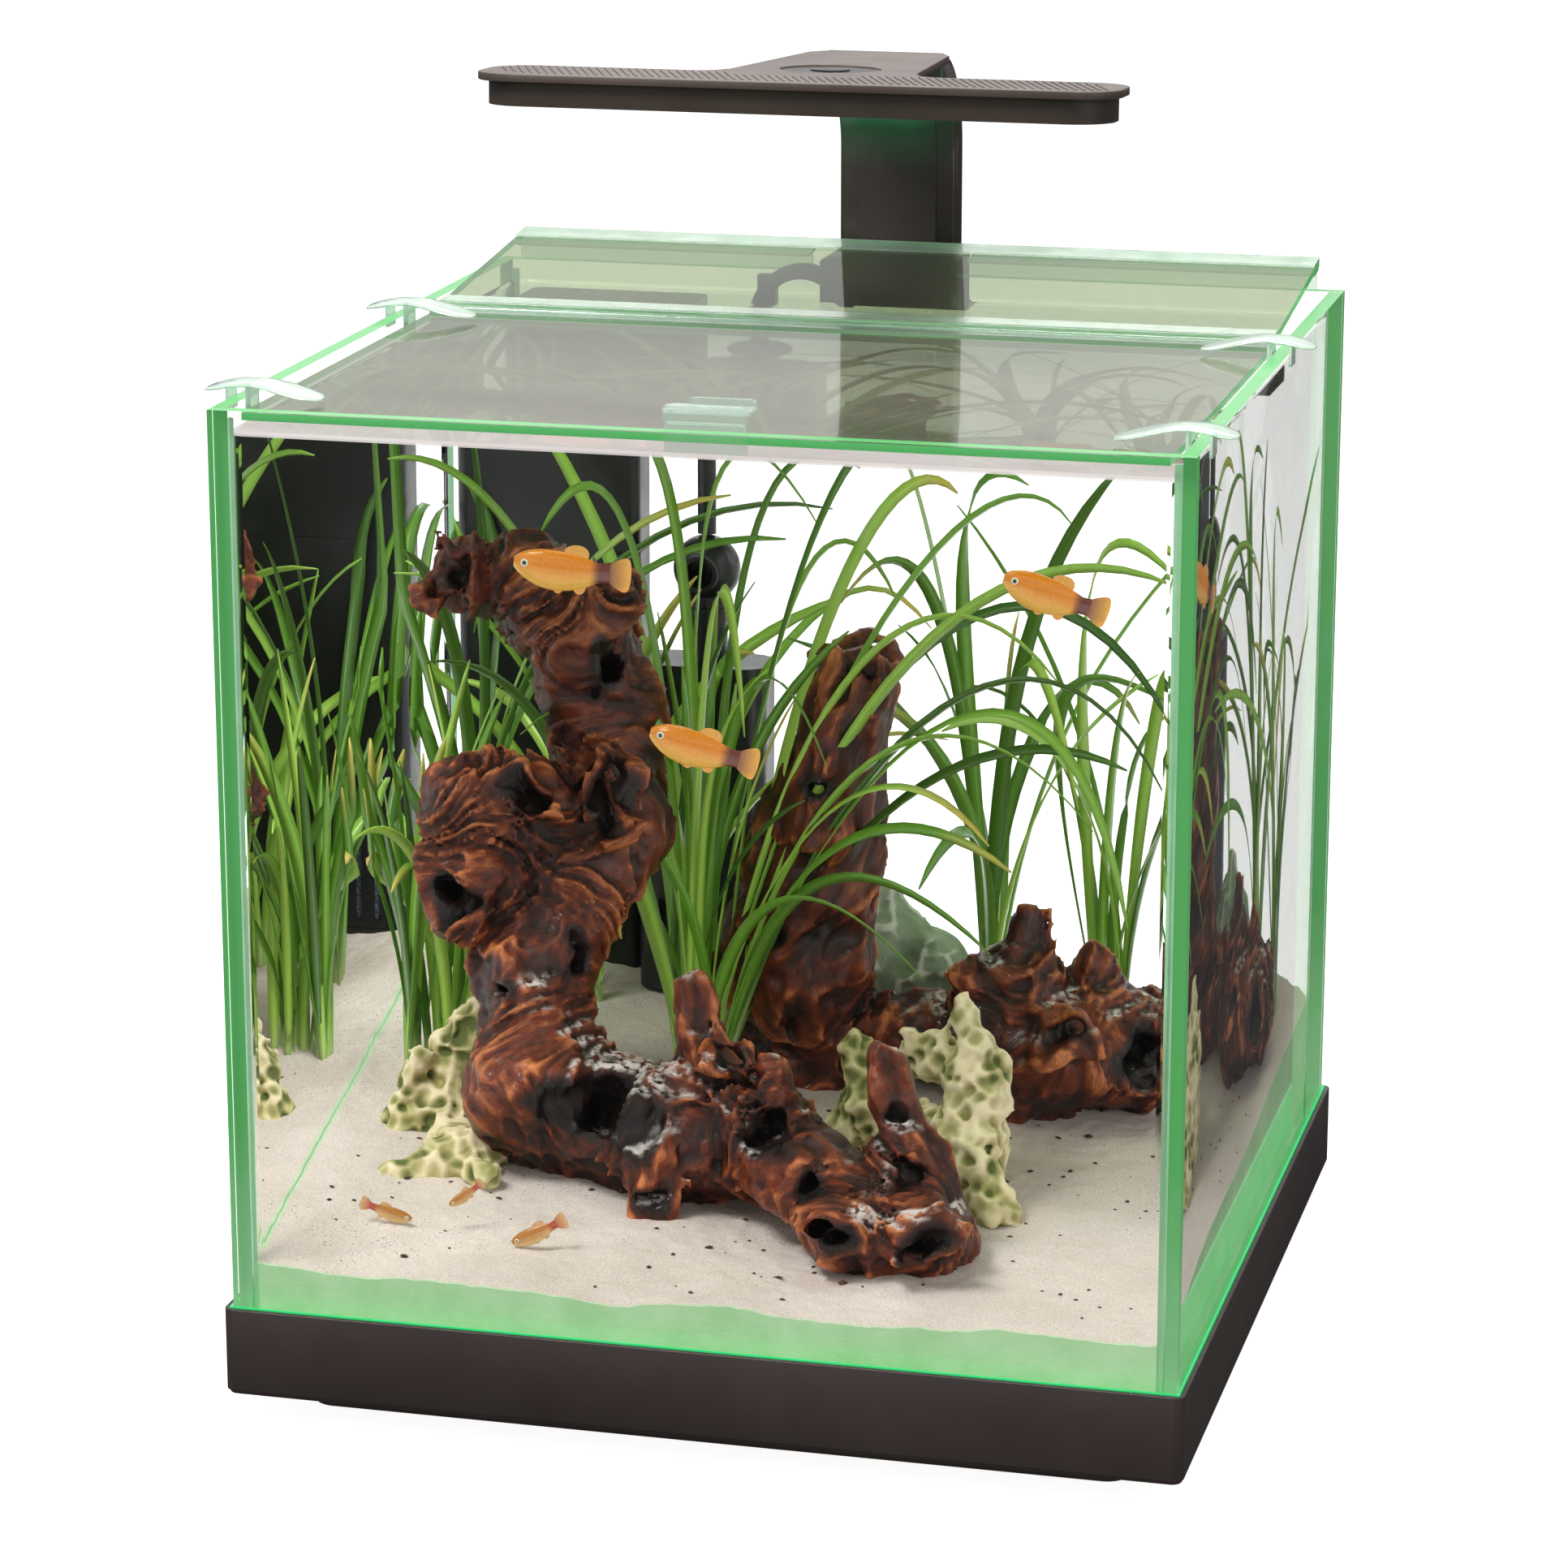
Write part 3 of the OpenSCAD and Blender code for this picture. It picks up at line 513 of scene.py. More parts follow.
def water_material():
    """Clear water, with a pale glow painted on its surface near the front glass."""
    s = Shader("water").set(color=(0.995, 1.0, 0.995), rough=0.0, glass=1.0, ior=1.333)
    body = s.see_through_shadows((0.99, 1.0, 0.99))
    at = s.split(s.place)
    top = s.math("GREATER_THAN", at["Z"], (WATER_Z - 0.4) * MM)
    front = s.math("LESS_THAN", at["Y"], -150 * MM)
    # Painted light: the pale film is an emission on the water's top near the front, not a lamp.
    film = s.node("ShaderNodeEmission")
    tone = s.ramp(s.noise(30.0, 4.0, 0.6, (0.3, 1, 1)), (0.3, (0.70, 0.64, 0.62)), (0.7, (0.86, 0.80, 0.78)))
    s.link(tone, film.inputs["Color"])
    share = s.math("MULTIPLY", s.math("MULTIPLY", top, front), 0.8)
    s.finish(s.mix_shader(share, body, film.outputs["Emission"]))
    return s.material


def sand_material():
    """Fine pale sand with dark and amber grains, with the base's green light painted on as green colour and
    glow where it lies against the glass.
    """
    s = Shader("sand").set(rough=0.9, specular=0.2)
    cloud = s.noise(12.0, 6.0)
    tone = s.ramp(cloud, (0.3, (0.68, 0.585, 0.53)), (0.7, (0.88, 0.785, 0.73)))
    grains = s.ramp(s.noise(1500.0, 2.0), (0.36, (0.62, 0.56, 0.5)), (0.6, (1.0, 1.0, 1.0)))
    tone = s.mix(0.6, tone, grains, "MULTIPLY")
    specks = s.ramp(s.cells(420.0), (0.10, 1.0), (0.16, 0.0))
    patches = s.ramp(s.noise(22.0, 3.0), (0.52, 0.0), (0.62, 1.0))
    dark = s.math("MULTIPLY", specks, patches)
    tone = s.mix(dark, tone, (0.05, 0.035, 0.025))
    # Painted light: along the glass the sand takes the base's green light as green colour and glow.
    wall = s.attribute("glass_glow_painted")
    mottle = s.ramp(s.noise(45.0, 5.0, 0.65), (0.35, (0.20, 0.42, 0.19)), (0.7, (0.42, 0.60, 0.38)))
    s.feed(s.mix(wall, tone, (0.30, 0.50, 0.26)), "Base Color")
    s.feed(s.mix(wall, (0.0, 0.0, 0.0), mottle), "Emission Color")
    s.set(glow=0.52)
    s.bump(s.noise(1200.0, 3.0), 0.5, 0.5)
    return s.material


def wood_material():
    """Wet root wood: near-black painted shade in the hollows, red-brown flanks with grain, tan crests and a
    film of water.
    """
    s = Shader("driftwood").set(rough=0.42, coat=0.22, coat_rough=0.07, specular=0.25)
    grain = s.attribute("grain", "Vector")
    relief = s.attribute("relief")
    coarse = s.noise(95.0, 4.0, 0.6, at=grain)
    cloud = s.math("MULTIPLY_ADD", s.noise(17.0, 4.0, 0.6), 0.4, s.math("MULTIPLY", coarse, 0.55))
    # The relief attribute carries painted shade: darker in creases and pits, lighter on crests.
    blotch_and_painted_shade = s.math("ADD", cloud, s.math("SUBTRACT", relief, 0.5))
    tone = s.ramp(blotch_and_painted_shade, (0.16, (0.006, 0.002, 0.0012)), (0.40, (0.055, 0.010, 0.004)),
                  (0.60, (0.22, 0.040, 0.011)), (0.84, (0.80, 0.26, 0.085)))
    fibre = s.ramp(s.noise(420.0, 5.0, 0.7, at=grain), (0.36, (0.36, 0.28, 0.26)), (0.60, (1.0, 1.0, 1.0)))
    tone = s.mix(0.75, tone, fibre, "MULTIPLY")
    dust = s.math("MULTIPLY", s.attribute("dust"), s.ramp(s.noise(300.0, 4.0), (0.42, 0.0), (0.55, 1.0)))
    s.feed(s.mix(dust, tone, (0.78, 0.70, 0.66)), "Base Color")
    s.feed(s.ramp(s.noise(60.0, 4.0), (0.3, 0.24), (0.75, 0.56)), "Roughness")
    s.bump(s.noise(420.0, 5.0, 0.7, at=grain), 0.8, 1.1)
    return s.material


def rock_material(name, hollow, flank, crest, stain):
    """Porous rock: dark pores, crusted flanks and pale worn crests with patches of algae."""
    s = Shader(name).set(rough=0.8, specular=0.25)
    relief = s.attribute("relief")
    height = s.math("MULTIPLY_ADD", s.noise(70.0, 5.0, 0.7), 0.35, s.math("SUBTRACT", relief, 0.17))
    tone = s.ramp(height, (0.12, hollow), (0.42, flank), (0.78, crest))
    algae = s.ramp(s.noise(20.0, 4.0), (0.45, 0.0), (0.7, 0.75))
    s.feed(s.mix(algae, tone, stain, "MULTIPLY"), "Base Color")
    s.bump(s.noise(420.0, 5.0, 0.7), 0.6, 0.7)
    return s.material


def leaf_material():
    """Ribbon leaves: pale roots, green blades that differ leaf by leaf, yellowed tips."""
    s = Shader("leaf").set(rough=0.34, coat=0.25, coat_rough=0.2, specular=0.5)
    along = s.attribute("along")
    tint = s.ramp(s.attribute("tint"), (0.0, (0.045, 0.12, 0.014)), (0.5, (0.16, 0.37, 0.03)),
                  (1.0, (0.42, 0.66, 0.10)))
    root = s.ramp(along, (0.0, 1.0), (0.14, 0.0))
    tone = s.mix(root, tint, (0.45, 0.58, 0.22))
    tip = s.ramp(s.math("MULTIPLY", along, s.attribute("age")), (0.80, 0.0), (1.0, 1.0))
    tone = s.mix(tip, tone, (0.62, 0.50, 0.10))
    streak = s.ramp(s.noise(300.0, 3.0, 0.6, (1, 1, 0.1)), (0.3, (0.72, 0.78, 0.7)), (0.7, (1.0, 1.0, 1.0)))
    s.feed(s.mix(0.7, tone, streak, "MULTIPLY"), "Base Color")
    # Painted light: the leaves glow faintly in their own colour.
    s.feed(tone, "Emission Color")
    s.set(glow=0.16)
    s.bump(s.noise(500.0, 2.0, 0.5, (1, 1, 0.12)), 0.2, 0.3)
    return s.material


def fish_material(name, back, belly, patch):
    """Fish skin: back and belly tones, scales, a dark red patch towards the tail and clear fin ends."""
    s = Shader(name).set(rough=0.28, coat=0.5, coat_rough=0.1, specular=0.6)
    tone = s.ramp(s.attribute("height"), (0.15, belly), (0.6, back))
    tone = s.mix(s.attribute("patch"), tone, patch)
    scales = s.ramp(s.cells(900.0), (0.2, (1.0, 1.0, 1.0)), (0.7, (0.8, 0.72, 0.6)))
    tone = s.mix(0.5, tone, scales, "MULTIPLY")
    eye = s.attribute("eye")
    tone = s.mix(s.math("GREATER_THAN", eye, 0.25), tone, (0.75, 0.78, 0.62))
    tone = s.mix(s.math("GREATER_THAN", eye, 0.75), tone, (0.004, 0.004, 0.004))
    s.feed(tone, "Base Color")
    # Painted light: the skin glows faintly in its own colour.
    s.feed(tone, "Emission Color")
    s.set(glow=0.22)
    s.bump(s.cells(900.0), 0.2, 0.15)
    return s.material


def glowing(name, color, strength):
    s = Shader(name).set(color=color, rough=0.35)
    s.feed(s.ramp(s.noise(120.0, 2.0), (0.3, tuple(0.85 * c for c in color)), (0.8, color)), "Emission Color")
    s.set(glow=strength)
    return s.material


def metal_material(name, color, rough):
    s = Shader(name).set(color=color, metal=1.0, rough=rough)
    s.feed(s.ramp(s.noise(400.0, 3.0, 0.5, (1, 1, 8)), (0.3, rough - 0.08), (0.8, rough + 0.1)), "Roughness")
    return s.material


def sponge_material():
    s = Shader("sponge").set(rough=0.95)
    s.feed(s.ramp(s.cells(700.0), (0.1, (0.02, 0.03, 0.035)), (0.6, (0.16, 0.2, 0.23))), "Base Color")
    s.bump(s.cells(700.0), 0.8, 0.8)
    return s.material


WARM_BLACK = (0.036, 0.0255, 0.0235)
WARM_BLACK_LIGHT = (0.050, 0.037, 0.033)
PANE_CLEAR = (0.997, 1.0, 0.997)
# Painted light: the base's green light on the cut edges of panes and lid, used as colour and glow.
PANE_EDGE_GLOW_PAINTED = (0.080, 0.31, 0.095)
LID_EDGE_GLOW_PAINTED = (0.08, 0.36, 0.11)
FRONT_MIST = (0.42, (0.18, 0.165, 0.125), (0.27, 0.25, 0.195))
REAR_MIST = (0.11, (0.30, 0.34, 0.25), (0.42, 0.46, 0.35))
mats = {
    "wide_pane": sheet_glass("wide_pane_glass", 1, PANE_CLEAR, 0.3, PANE_EDGE_GLOW_PAINTED, 0.55),
    "side_pane": sheet_glass("side_pane_glass", 0, PANE_CLEAR, 0.3, PANE_EDGE_GLOW_PAINTED, 0.55),
    "floor_pane": sheet_glass("floor_pane_glass", 2, (0.98, 0.99, 0.98), 0.2, (0.12, 0.48, 0.17), 0.7),
    "lid_front": sheet_glass("lid_front_glass", 2, (0.74, 0.82, 0.68), 1.0, LID_EDGE_GLOW_PAINTED, 0.6, FRONT_MIST),
    "lid_rear": sheet_glass("lid_rear_glass", 2, (0.62, 0.69, 0.52), 1.0, LID_EDGE_GLOW_PAINTED, 0.6, REAR_MIST),
    "vinyl": vinyl_material("clear_vinyl", (0.74, 0.88, 0.78), 0.88),
    "clip": vinyl_material("clip_plastic", (0.66, 0.78, 0.69), 0.72),
    "pull": vinyl_material("pull_plastic", (0.82, 0.89, 0.84), 0.86),
    "silicone": silicone_material(),
    "water": water_material(),
    "sand": sand_material(),
    "wood": wood_material(),
    "leaf": leaf_material(),
    "crumb": speckled_plastic("bark_crumbs", (0.035, 0.018, 0.01), (0.16, 0.08, 0.035), 0.8, grain=300.0),
    "sponge": sponge_material(),
    "base": speckled_plastic("base_plastic", WARM_BLACK, WARM_BLACK_LIGHT, 0.42),
    "lamp": speckled_plastic("lamp_plastic", (0.027, 0.018, 0.013), (0.044, 0.030, 0.022), 0.5),
    # Painted light: a lighter copy of the lamp plastic for the head's top, lit from above; the ribs take it
    # too.
    "lamp_top": speckled_plastic("lamp_plastic_lit_top_painted", (0.060, 0.041, 0.033), (0.085, 0.062, 0.050), 0.5),
    "lamp_arm": painted_glow_arm_material("lamp_arm_plastic"),
    "arm_panel": painted_glow_arm_material("arm_panel_plastic"),
    "trim": speckled_plastic("lamp_trim", (0.016, 0.013, 0.013), (0.026, 0.021, 0.02), 0.26, coat=0.2),
    "filter": speckled_plastic("filter_plastic", (0.006, 0.006, 0.007), (0.014, 0.014, 0.016), 0.34),
    "rubber": speckled_plastic("soft_rubber", (0.012, 0.012, 0.012), (0.022, 0.022, 0.022), 0.7),
    "rotor": speckled_plastic("rotor_plastic", (0.66, 0.66, 0.6), (0.75, 0.75, 0.7), 0.3),
    "board": speckled_plastic("circuit_board", (0.01, 0.09, 0.035), (0.015, 0.13, 0.05), 0.35),
    "diffuser": glowing("diffuser", (0.95, 0.97, 0.95), 0.9),
    "led": glowing("led", (0.9, 1.0, 0.85), 1.5),
    "guide": glowing("light_guide", (0.02, 0.42, 0.12), 0.9),
    "steel": metal_material("screw_steel", (0.6, 0.6, 0.62), 0.3),
    "pale_rock": rock_material("pale_rock", (0.13, 0.16, 0.045), (0.50, 0.45, 0.19), (0.97, 0.84, 0.55),
                               (0.78, 0.86, 0.66)),
    "green_rock": rock_material("green_rock", (0.13, 0.19, 0.11), (0.38, 0.48, 0.33), (0.92, 0.94, 0.82),
                                (0.7, 0.82, 0.66)),
}


def dress_cad_nodes():
    """Materials for the CAD nodes that are shown as they are."""
    for material, names in {
        "wide_pane": ("front_pane", "rear_pane"),
        "side_pane": ("left_pane", "right_pane"),
        "floor_pane": ("bottom_pane",),
        "lid_front": ("lid_front_panel",),
        "lid_rear": ("lid_rear_panel",),
        "vinyl": ("hinge_web", "hinge_front_channel", "hinge_rear_channel", "rear_edge_strip"),
        "clip": ("lid_handle", "lid_clip_front_left", "lid_clip_front_right", "lid_clip_mid_left",
                 "lid_clip_mid_right"),
        "silicone": ("silicone_seams",),
        "guide": ("light_guide_rim",),
        "board": ("led_strip_boards", "controller_board", "lamp_led_board"),
        "led": ("led_chips", "lamp_leds"),
        "diffuser": ("lamp_diffuser",),
        "rubber": ("foam_mat", "rubber_pads", "clamp_lining", "clamp_pad", "suction_cups"),
        "steel": ("plinth_screws", "lamp_screws", "impeller_shaft"),
        "trim": ("power_inlet", "lamp_button_ring", "lamp_button", "clamp_screw"),
        "arm_panel": ("lamp_arm_front_panel",),
        "filter": ("filter_body", "filter_cover", "filter_grille", "pump_body", "flow_nozzle", "pump_hanger"),
        "sponge": ("filter_cartridge",),
        "rotor": ("pump_impeller",),
        "base": ("base_shell", "plinth_plate"),
        "lamp": ("lamp_lower_housing", "clamp_body"),
        "lamp_top": ("lamp_top_cover",),
        "lamp_arm": ("lamp_arm_body",),
    }.items():
        for name in names:
            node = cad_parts[name]
            node.data.materials.clear()
            node.data.materials.append(mats[material])


def rounded_copy(node, slot, material, width_mm):
    """The CAD part with its sharp edges broken, as moulded parts have."""
    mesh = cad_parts[node].data.copy()
    bm = bmesh.new()
    bm.from_mesh(mesh)
    bmesh.ops.remove_doubles(bm, verts=bm.verts, dist=1e-6)
    bmesh.ops.dissolve_limit(bm, angle_limit=math.radians(0.5), verts=bm.verts, edges=bm.edges)
    bm.to_mesh(mesh)
    bm.free()
    obj = bpy.data.objects.new(node + "_rounded", mesh)
    bpy.context.scene.collection.objects.link(obj)
    bevel = obj.modifiers.new("round", "BEVEL")
    bevel.width = width_mm * MM
    bevel.segments = 3
    bevel.limit_method = "ANGLE"
    bevel.angle_limit = math.radians(40)
    bevel.harden_normals = True
    apply_modifiers(obj)
    obj.data.polygons.foreach_set("use_smooth", [True] * len(obj.data.polygons))
    obj.data.set_sharp_from_angle(angle=math.radians(30))
    place(obj, "root", slot, mats[material], node)


# ---------------------------------------------------------------- clips and handle

def loft(sections, sides=14):
    """A closed solid through round-edged sections, each (centre, half across y, half in z)."""
    points = []
    for centre, wide, thick in sections:
        for k in range(sides):
            a = 2 * math.pi * k / sides
            c, t = math.cos(a), math.sin(a)
            points.append((centre[0], centre[1] + wide * math.copysign(abs(c) ** 0.7, c),
                           centre[2] + thick * math.copysign(abs(t) ** 0.7, t)))
    return points, tube_faces(len(sections), sides)


def joined(name, solids, smooth=True):
    points, faces = [], []
    for p, f in solids:
        base = len(points)
        points += [tuple(v) for v in p]
        faces += [tuple(base + k for k in face) for face in f]
    obj = add_mesh(name, points, faces, smooth)
    bm = bmesh.new()
    bm.from_mesh(obj.data)
    bmesh.ops.recalc_face_normals(bm, faces=bm.faces)
    bm.to_mesh(obj.data)
    bm.free()
    return obj


def brick(low, high):
    points = [(x, y, z) for z in (low[2], high[2]) for y in (low[1], high[1]) for x in (low[0], high[0])]
    return points, [(0, 2, 3, 1), (4, 5, 7, 6), (0, 1, 5, 4), (2, 6, 7, 3), (0, 4, 6, 2), (1, 3, 7, 5)]


def make_clip(node, side, y):
    """A moulded clip: a lobe outside the rim, an arched lobe over the lid, and a stem between them."""
    tank_r, inner_r = INNER_R + PANE_T, INNER_R
    # Along the spine: distance from the tank's middle, height over the rim, and half the width
    # and half the thickness there
    spine = [(tank_r + 10.6, 2.6, 2.5, 0.4), (tank_r + 9.4, 3.0, 6.5, 0.8), (tank_r + 5, 4.0, 9.6, 1.0),
             (tank_r - 1, 5.2, 9.2, 1.1), (inner_r - 3, 5.6, 7.6, 1.2), (inner_r - 9, 5.0, 9.2, 1.1),
             (inner_r - 17, 3.2, 10.6, 1.0), (inner_r - 24, 1.5, 9.4, 0.9), (inner_r - 28.6, 0.6, 6.0, 0.7),
             (inner_r - 30, 0.3, 2.6, 0.4)]
    solids = [loft([((side * u, y, RIM_Z + z), wide, thick) for u, z, wide, thick in spine])]
    grip_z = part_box(node)[0].z / MM
    for u0, u1, z0, z1 in ((inner_r - 2.5, inner_r - 0.4, grip_z, RIM_Z + 6),
                           (tank_r + 0.4, tank_r + 1.6, RIM_Z - 5, RIM_Z + 5)):
        xs = sorted((side * u0, side * u1))
        solids.append(brick((xs[0], y - 5.0, z0), (xs[1], y + 5.0, z1)))
    obj = joined(node + "_moulded", solids)
    obj.data.set_sharp_from_angle(angle=math.radians(40))
    place(obj, "lid_front", "clear_vinyl", mats["clip"], node)


def rounded_slab(low, high, axis, radius, steps=6):
    """A plate with round corners, seen along axis 1 (y) or 2 (z)."""
    a, b = (0, 2) if axis == 1 else (0, 1)
    outline = []
    for ca, cb, start in ((high[a] - radius, high[b] - radius, 0), (low[a] + radius, high[b] - radius, 90),
                          (low[a] + radius, low[b] + radius, 180), (high[a] - radius, low[b] + radius, 270)):
        for i in range(steps + 1):
            t = math.radians(start + 90 * i / steps)
            outline.append((ca + radius * math.cos(t), cb + radius * math.sin(t)))
    points = []
    for level in (low[axis], high[axis]):
        for u, v in outline:
            point = [0, 0, 0]
            point[a], point[b], point[axis] = u, v, level
            points.append(tuple(point))
    n = len(outline)
    faces = [tuple(range(n)), tuple(range(n, 2 * n))[::-1]]
    faces += [(k, n + k, n + (k + 1) % n, (k + 1) % n) for k in range(n)]
    return points, faces


def make_handle():
    """The lid's clear pull: a round-cornered plate in front, a lower lip and a second plate on top."""
    low, high = box_mm("lid_handle")
    top = high.z + 2.0
    plates = (((low.x, low.y, top - 7.5), (high.x, low.y + 1.8, top), 1, 2.4),
              ((low.x + 0.5, low.y + 0.2, low.z - 3.5), (high.x - 0.5, low.y + 1.9, top - 6.5), 1, 2.0),
              ((low.x + 8, low.y + 8.5, top - 4.0), (high.x + 1.0, low.y + 10.3, top + 1.5), 1, 2.0),
              ((low.x, low.y + 1.0, high.z - 1.6), (high.x, high.y, high.z), 2, 2.0))
    obj = joined("lid_handle_moulded", [rounded_slab(*plate) for plate in plates], smooth=False)
    bevel = obj.modifiers.new("round", "BEVEL")
    bevel.width = 0.35 * MM
    bevel.segments = 3
    apply_modifiers(obj)
    place(obj, "lid_front", "clear_vinyl", mats["pull"], "lid_handle")


def make_specks():
    """Crumbs of bark and seeds lying on the sand."""
    rng = np.random.default_rng(SEED + 12)
    solids = []
    x, y = rng.uniform(-172, 172, 150), rng.uniform(-172, 60, 150)
    for at in zip(x, y, sand_top(x, y)):
        size = rng.uniform(0.35, 1.1) * (1.9 if rng.uniform() < 0.06 else 1)
        solids.append(crumb((at[0], at[1], at[2] + 0.4 * size), size * rng.uniform(1, 2.2), size,
                            rng.uniform(0, math.pi)))
    obj = joined("sand_specks", solids)
    place(obj, "root", "driftwood", mats["crumb"])


def crumb(centre, long, short, turn):
    """A small flat bead with six sides."""
    points = [(0, 0, short * 0.6), (0, 0, -short * 0.9)]
    points += [(long * math.cos(a), short * math.sin(a), 0) for a in np.linspace(0, 2 * math.pi, 7)[:-1]]
    c, t = math.cos(turn), math.sin(turn)
    points = [(centre[0] + c * x - t * y, centre[1] + t * x + c * y, centre[2] + z) for x, y, z in points]
    faces = [(0, 2 + k, 2 + (k + 1) % 6) for k in range(6)] + [(1, 2 + (k + 1) % 6, 2 + k) for k in range(6)]
    return points, faces


# ---------------------------------------------------------------- sand and water

def sand_top(x, y):
    """The sand's height with its ripples and grains."""
    flat = np.stack([x, y, np.zeros_like(x)], 1)
    return sand_height(x, y) + 1.6 * fractal(flat, 34, 3, SEED) + 0.35 * fractal(flat, 4, 3, SEED + 5)


def make_sand():
    n = 260
    line = np.linspace(-SAND_REACH, SAND_REACH, n)
    x, y = [a.ravel() for a in np.meshgrid(line, line, indexing="ij")]
    top = np.stack([x, y, sand_top(x, y)], 1)
    edge = [i * n for i in range(n)] + [(n - 1) * n + j for j in range(1, n)]
    edge += [i * n + n - 1 for i in range(n - 2, -1, -1)] + [j for j in range(n - 2, 0, -1)]
    skirt_top = top[edge]
    skirt_low = skirt_top * [1, 1, 0] + [0, 0, FLOOR_Z + 0.3]
    k = len(edge)
    base = n * n
    faces = [(i * n + j, (i + 1) * n + j, (i + 1) * n + j + 1, i * n + j + 1)
             for i in range(n - 1) for j in range(n - 1)]
    faces += [(edge[i], edge[(i + 1) % k], base + (i + 1) % k, base + i)[::-1] for i in range(k)]
    faces.append(tuple(range(base, base + k))[::-1])
    obj = add_mesh("sand_surface", np.concatenate([top, skirt_low]), faces)
    obj.data.set_sharp_from_angle(angle=math.radians(50))
    near = SAND_REACH - np.maximum(np.abs(x), np.abs(y))
    # Painted light: the share of the painted green colour and glow, full on the sand against the glass.
    glow = np.concatenate([np.clip(0.85 - near / 2.2, 0, 1), np.ones(k)])
    point_attribute(obj, "glass_glow_painted", glow)
    place(obj, "root", "sand", mats["sand"], "sand_bed")


def make_water():
    """The body of water: its top edge is drawn up against the glass in a small meniscus."""
    low, high = FLOOR_Z + 0.15, WATER_Z
    corner = 5.0
    rings = [(WATER_REACH, low), (WATER_REACH, high + 1.6), (WATER_REACH - 0.5, high + 0.7),
             (WATER_REACH - 1.6, high + 0.15), (WATER_REACH - 4.0, high)]
    points, steps = [], 6
    for reach, z in rings:
        for quarter in range(4):
            for i in range(steps + 1):
                a = math.radians(90 * quarter + 90 * i / steps)
                cx = (reach - corner) * (1 if quarter in (0, 3) else -1)
                cy = (reach - corner) * (1 if quarter in (0, 1) else -1)
                points.append((cx + corner * math.cos(a), cy + corner * math.sin(a), z))
    obj = add_mesh("water", points, tube_faces(len(rings), 4 * (steps + 1)), smooth=False)
    place(obj, "root", "pane_glass", mats["water"])


# ---------------------------------------------------------------- driftwood

def pocket_mask(p):
    """Where the wood is eaten into pockets (1) and where it is left smooth (0)."""
    return np.clip(0.62 + 0.9 * fractal(p, 46, 2, SEED + 91), 0.12, 1)


def wood_bend(p):
    """The points that the wood's folds and grain are drawn at, so that both waver together."""
    return nudge(p, 5.0, 15, SEED + 15)


def wood_relief(p, direction):
    """Pockets with thin rims, folds that follow the limb, and fine ridges, in millimetres outwards."""
    along = (p * direction).sum(1)[:, None] * direction
    bent = wood_bend(p)
    lumps = 3.6 * fractal(p, 30, 2, SEED + 11)
    pockets = 11.0 * (cell_distance(bent - 0.3 * along, 21, SEED + 41) - 0.54) * pocket_mask(p)
    folds = 4.6 * (ridged(bent - 0.75 * along, 14, 2, SEED + 21) - 0.58)
    fine = 2.0 * (ridged(bent - 0.85 * along, 4.8, 2, SEED + 31) - 0.55)
    return lumps + pockets + folds + fine


def limb_direction(p, limbs):
    """Which way the wood runs at each point: along the nearest limbs, upwards."""
    flow = np.zeros((len(p), 3))
    for limb in limbs:
        for a, b in zip(limb[:-1], limb[1:]):
            near = np.exp(-np.clip(capsule(p, a, b) + 10, 0, 80) / 7)
            along = np.array(b[:3], float) - np.array(a[:3], float)
            flow += near[:, None] * along / np.linalg.norm(along) * (1 if along[2] >= 0 else -1)
    return flow / (np.linalg.norm(flow, axis=1)[:, None] + 1e-9)


def make_wood(name, limbs, pits, rims, node):
    obj = grow(name, limbs, pits, 1.5, 9.0, wood_relief, rims)
    p = mesh_points(obj)
    direction = limb_direction(p, limbs)
    hollow = np.full(len(p), 99.0)
    nudged = warped(p)
    for a, b in pits:
        hollow = np.minimum(hollow, capsule(nudged, a, b))
    # Painted shade: the tone is darker in creases and near the pits, where shade falls, and lighter on
    # crests, partly as real wear.
    tone = 0.5 + 0.17 * curvature(obj) + 0.12 * fractal(p, 11, 3, SEED + 3)
    tone += 0.035 * np.clip(wood_relief(p, direction), -7, 7)
    tone *= np.clip(0.30 + hollow / 6.0, 0.25, 1)
    point_attribute(obj, "relief", np.clip(tone, 0, 1))
    up = mesh_normals(obj)[:, 2]
    patches = np.clip(3 * fractal(p, 16, 2, SEED + 6) - 0.2, 0, 1)
    point_attribute(obj, "dust", np.clip((up - 0.55) / 0.3, 0, 1) * patches * (p[:, 2] < 175))
    grain = wood_bend(p) - 0.86 * (p * direction).sum(1)[:, None] * direction
    layer = obj.data.attributes.new("grain", "FLOAT_VECTOR", "POINT")
    layer.data.foreach_set("vector", (grain * MM).ravel())
    place(obj, "root", "driftwood", mats["wood"], node)


def mesh_normals(obj):
    normals = np.zeros(len(obj.data.vertices) * 3)
    obj.data.vertices.foreach_get("normal", normals)
    return normals.reshape(-1, 3)


def curvature(obj):
    """About -1 in a crease to +1 on a crest: how far each point stands off the mean of its neighbours."""
    mesh = obj.data
    points = mesh_points(obj)
    edges = np.zeros(len(mesh.edges) * 2, np.int64)
    mesh.edges.foreach_get("vertices", edges)
    edges = edges.reshape(-1, 2)
    normals = mesh_normals(obj)
    mean = points.copy()
    for _ in range(4):
        total = np.zeros_like(mean)
        count = np.zeros(len(mean))
        np.add.at(total, edges[:, 0], mean[edges[:, 1]])
        np.add.at(total, edges[:, 1], mean[edges[:, 0]])
        np.add.at(count, edges.ravel(), 1)
        mean = total / np.maximum(count, 1)[:, None]
    stand = ((points - mean) * normals).sum(1)
    return np.clip(stand / 0.6, -3, 3)


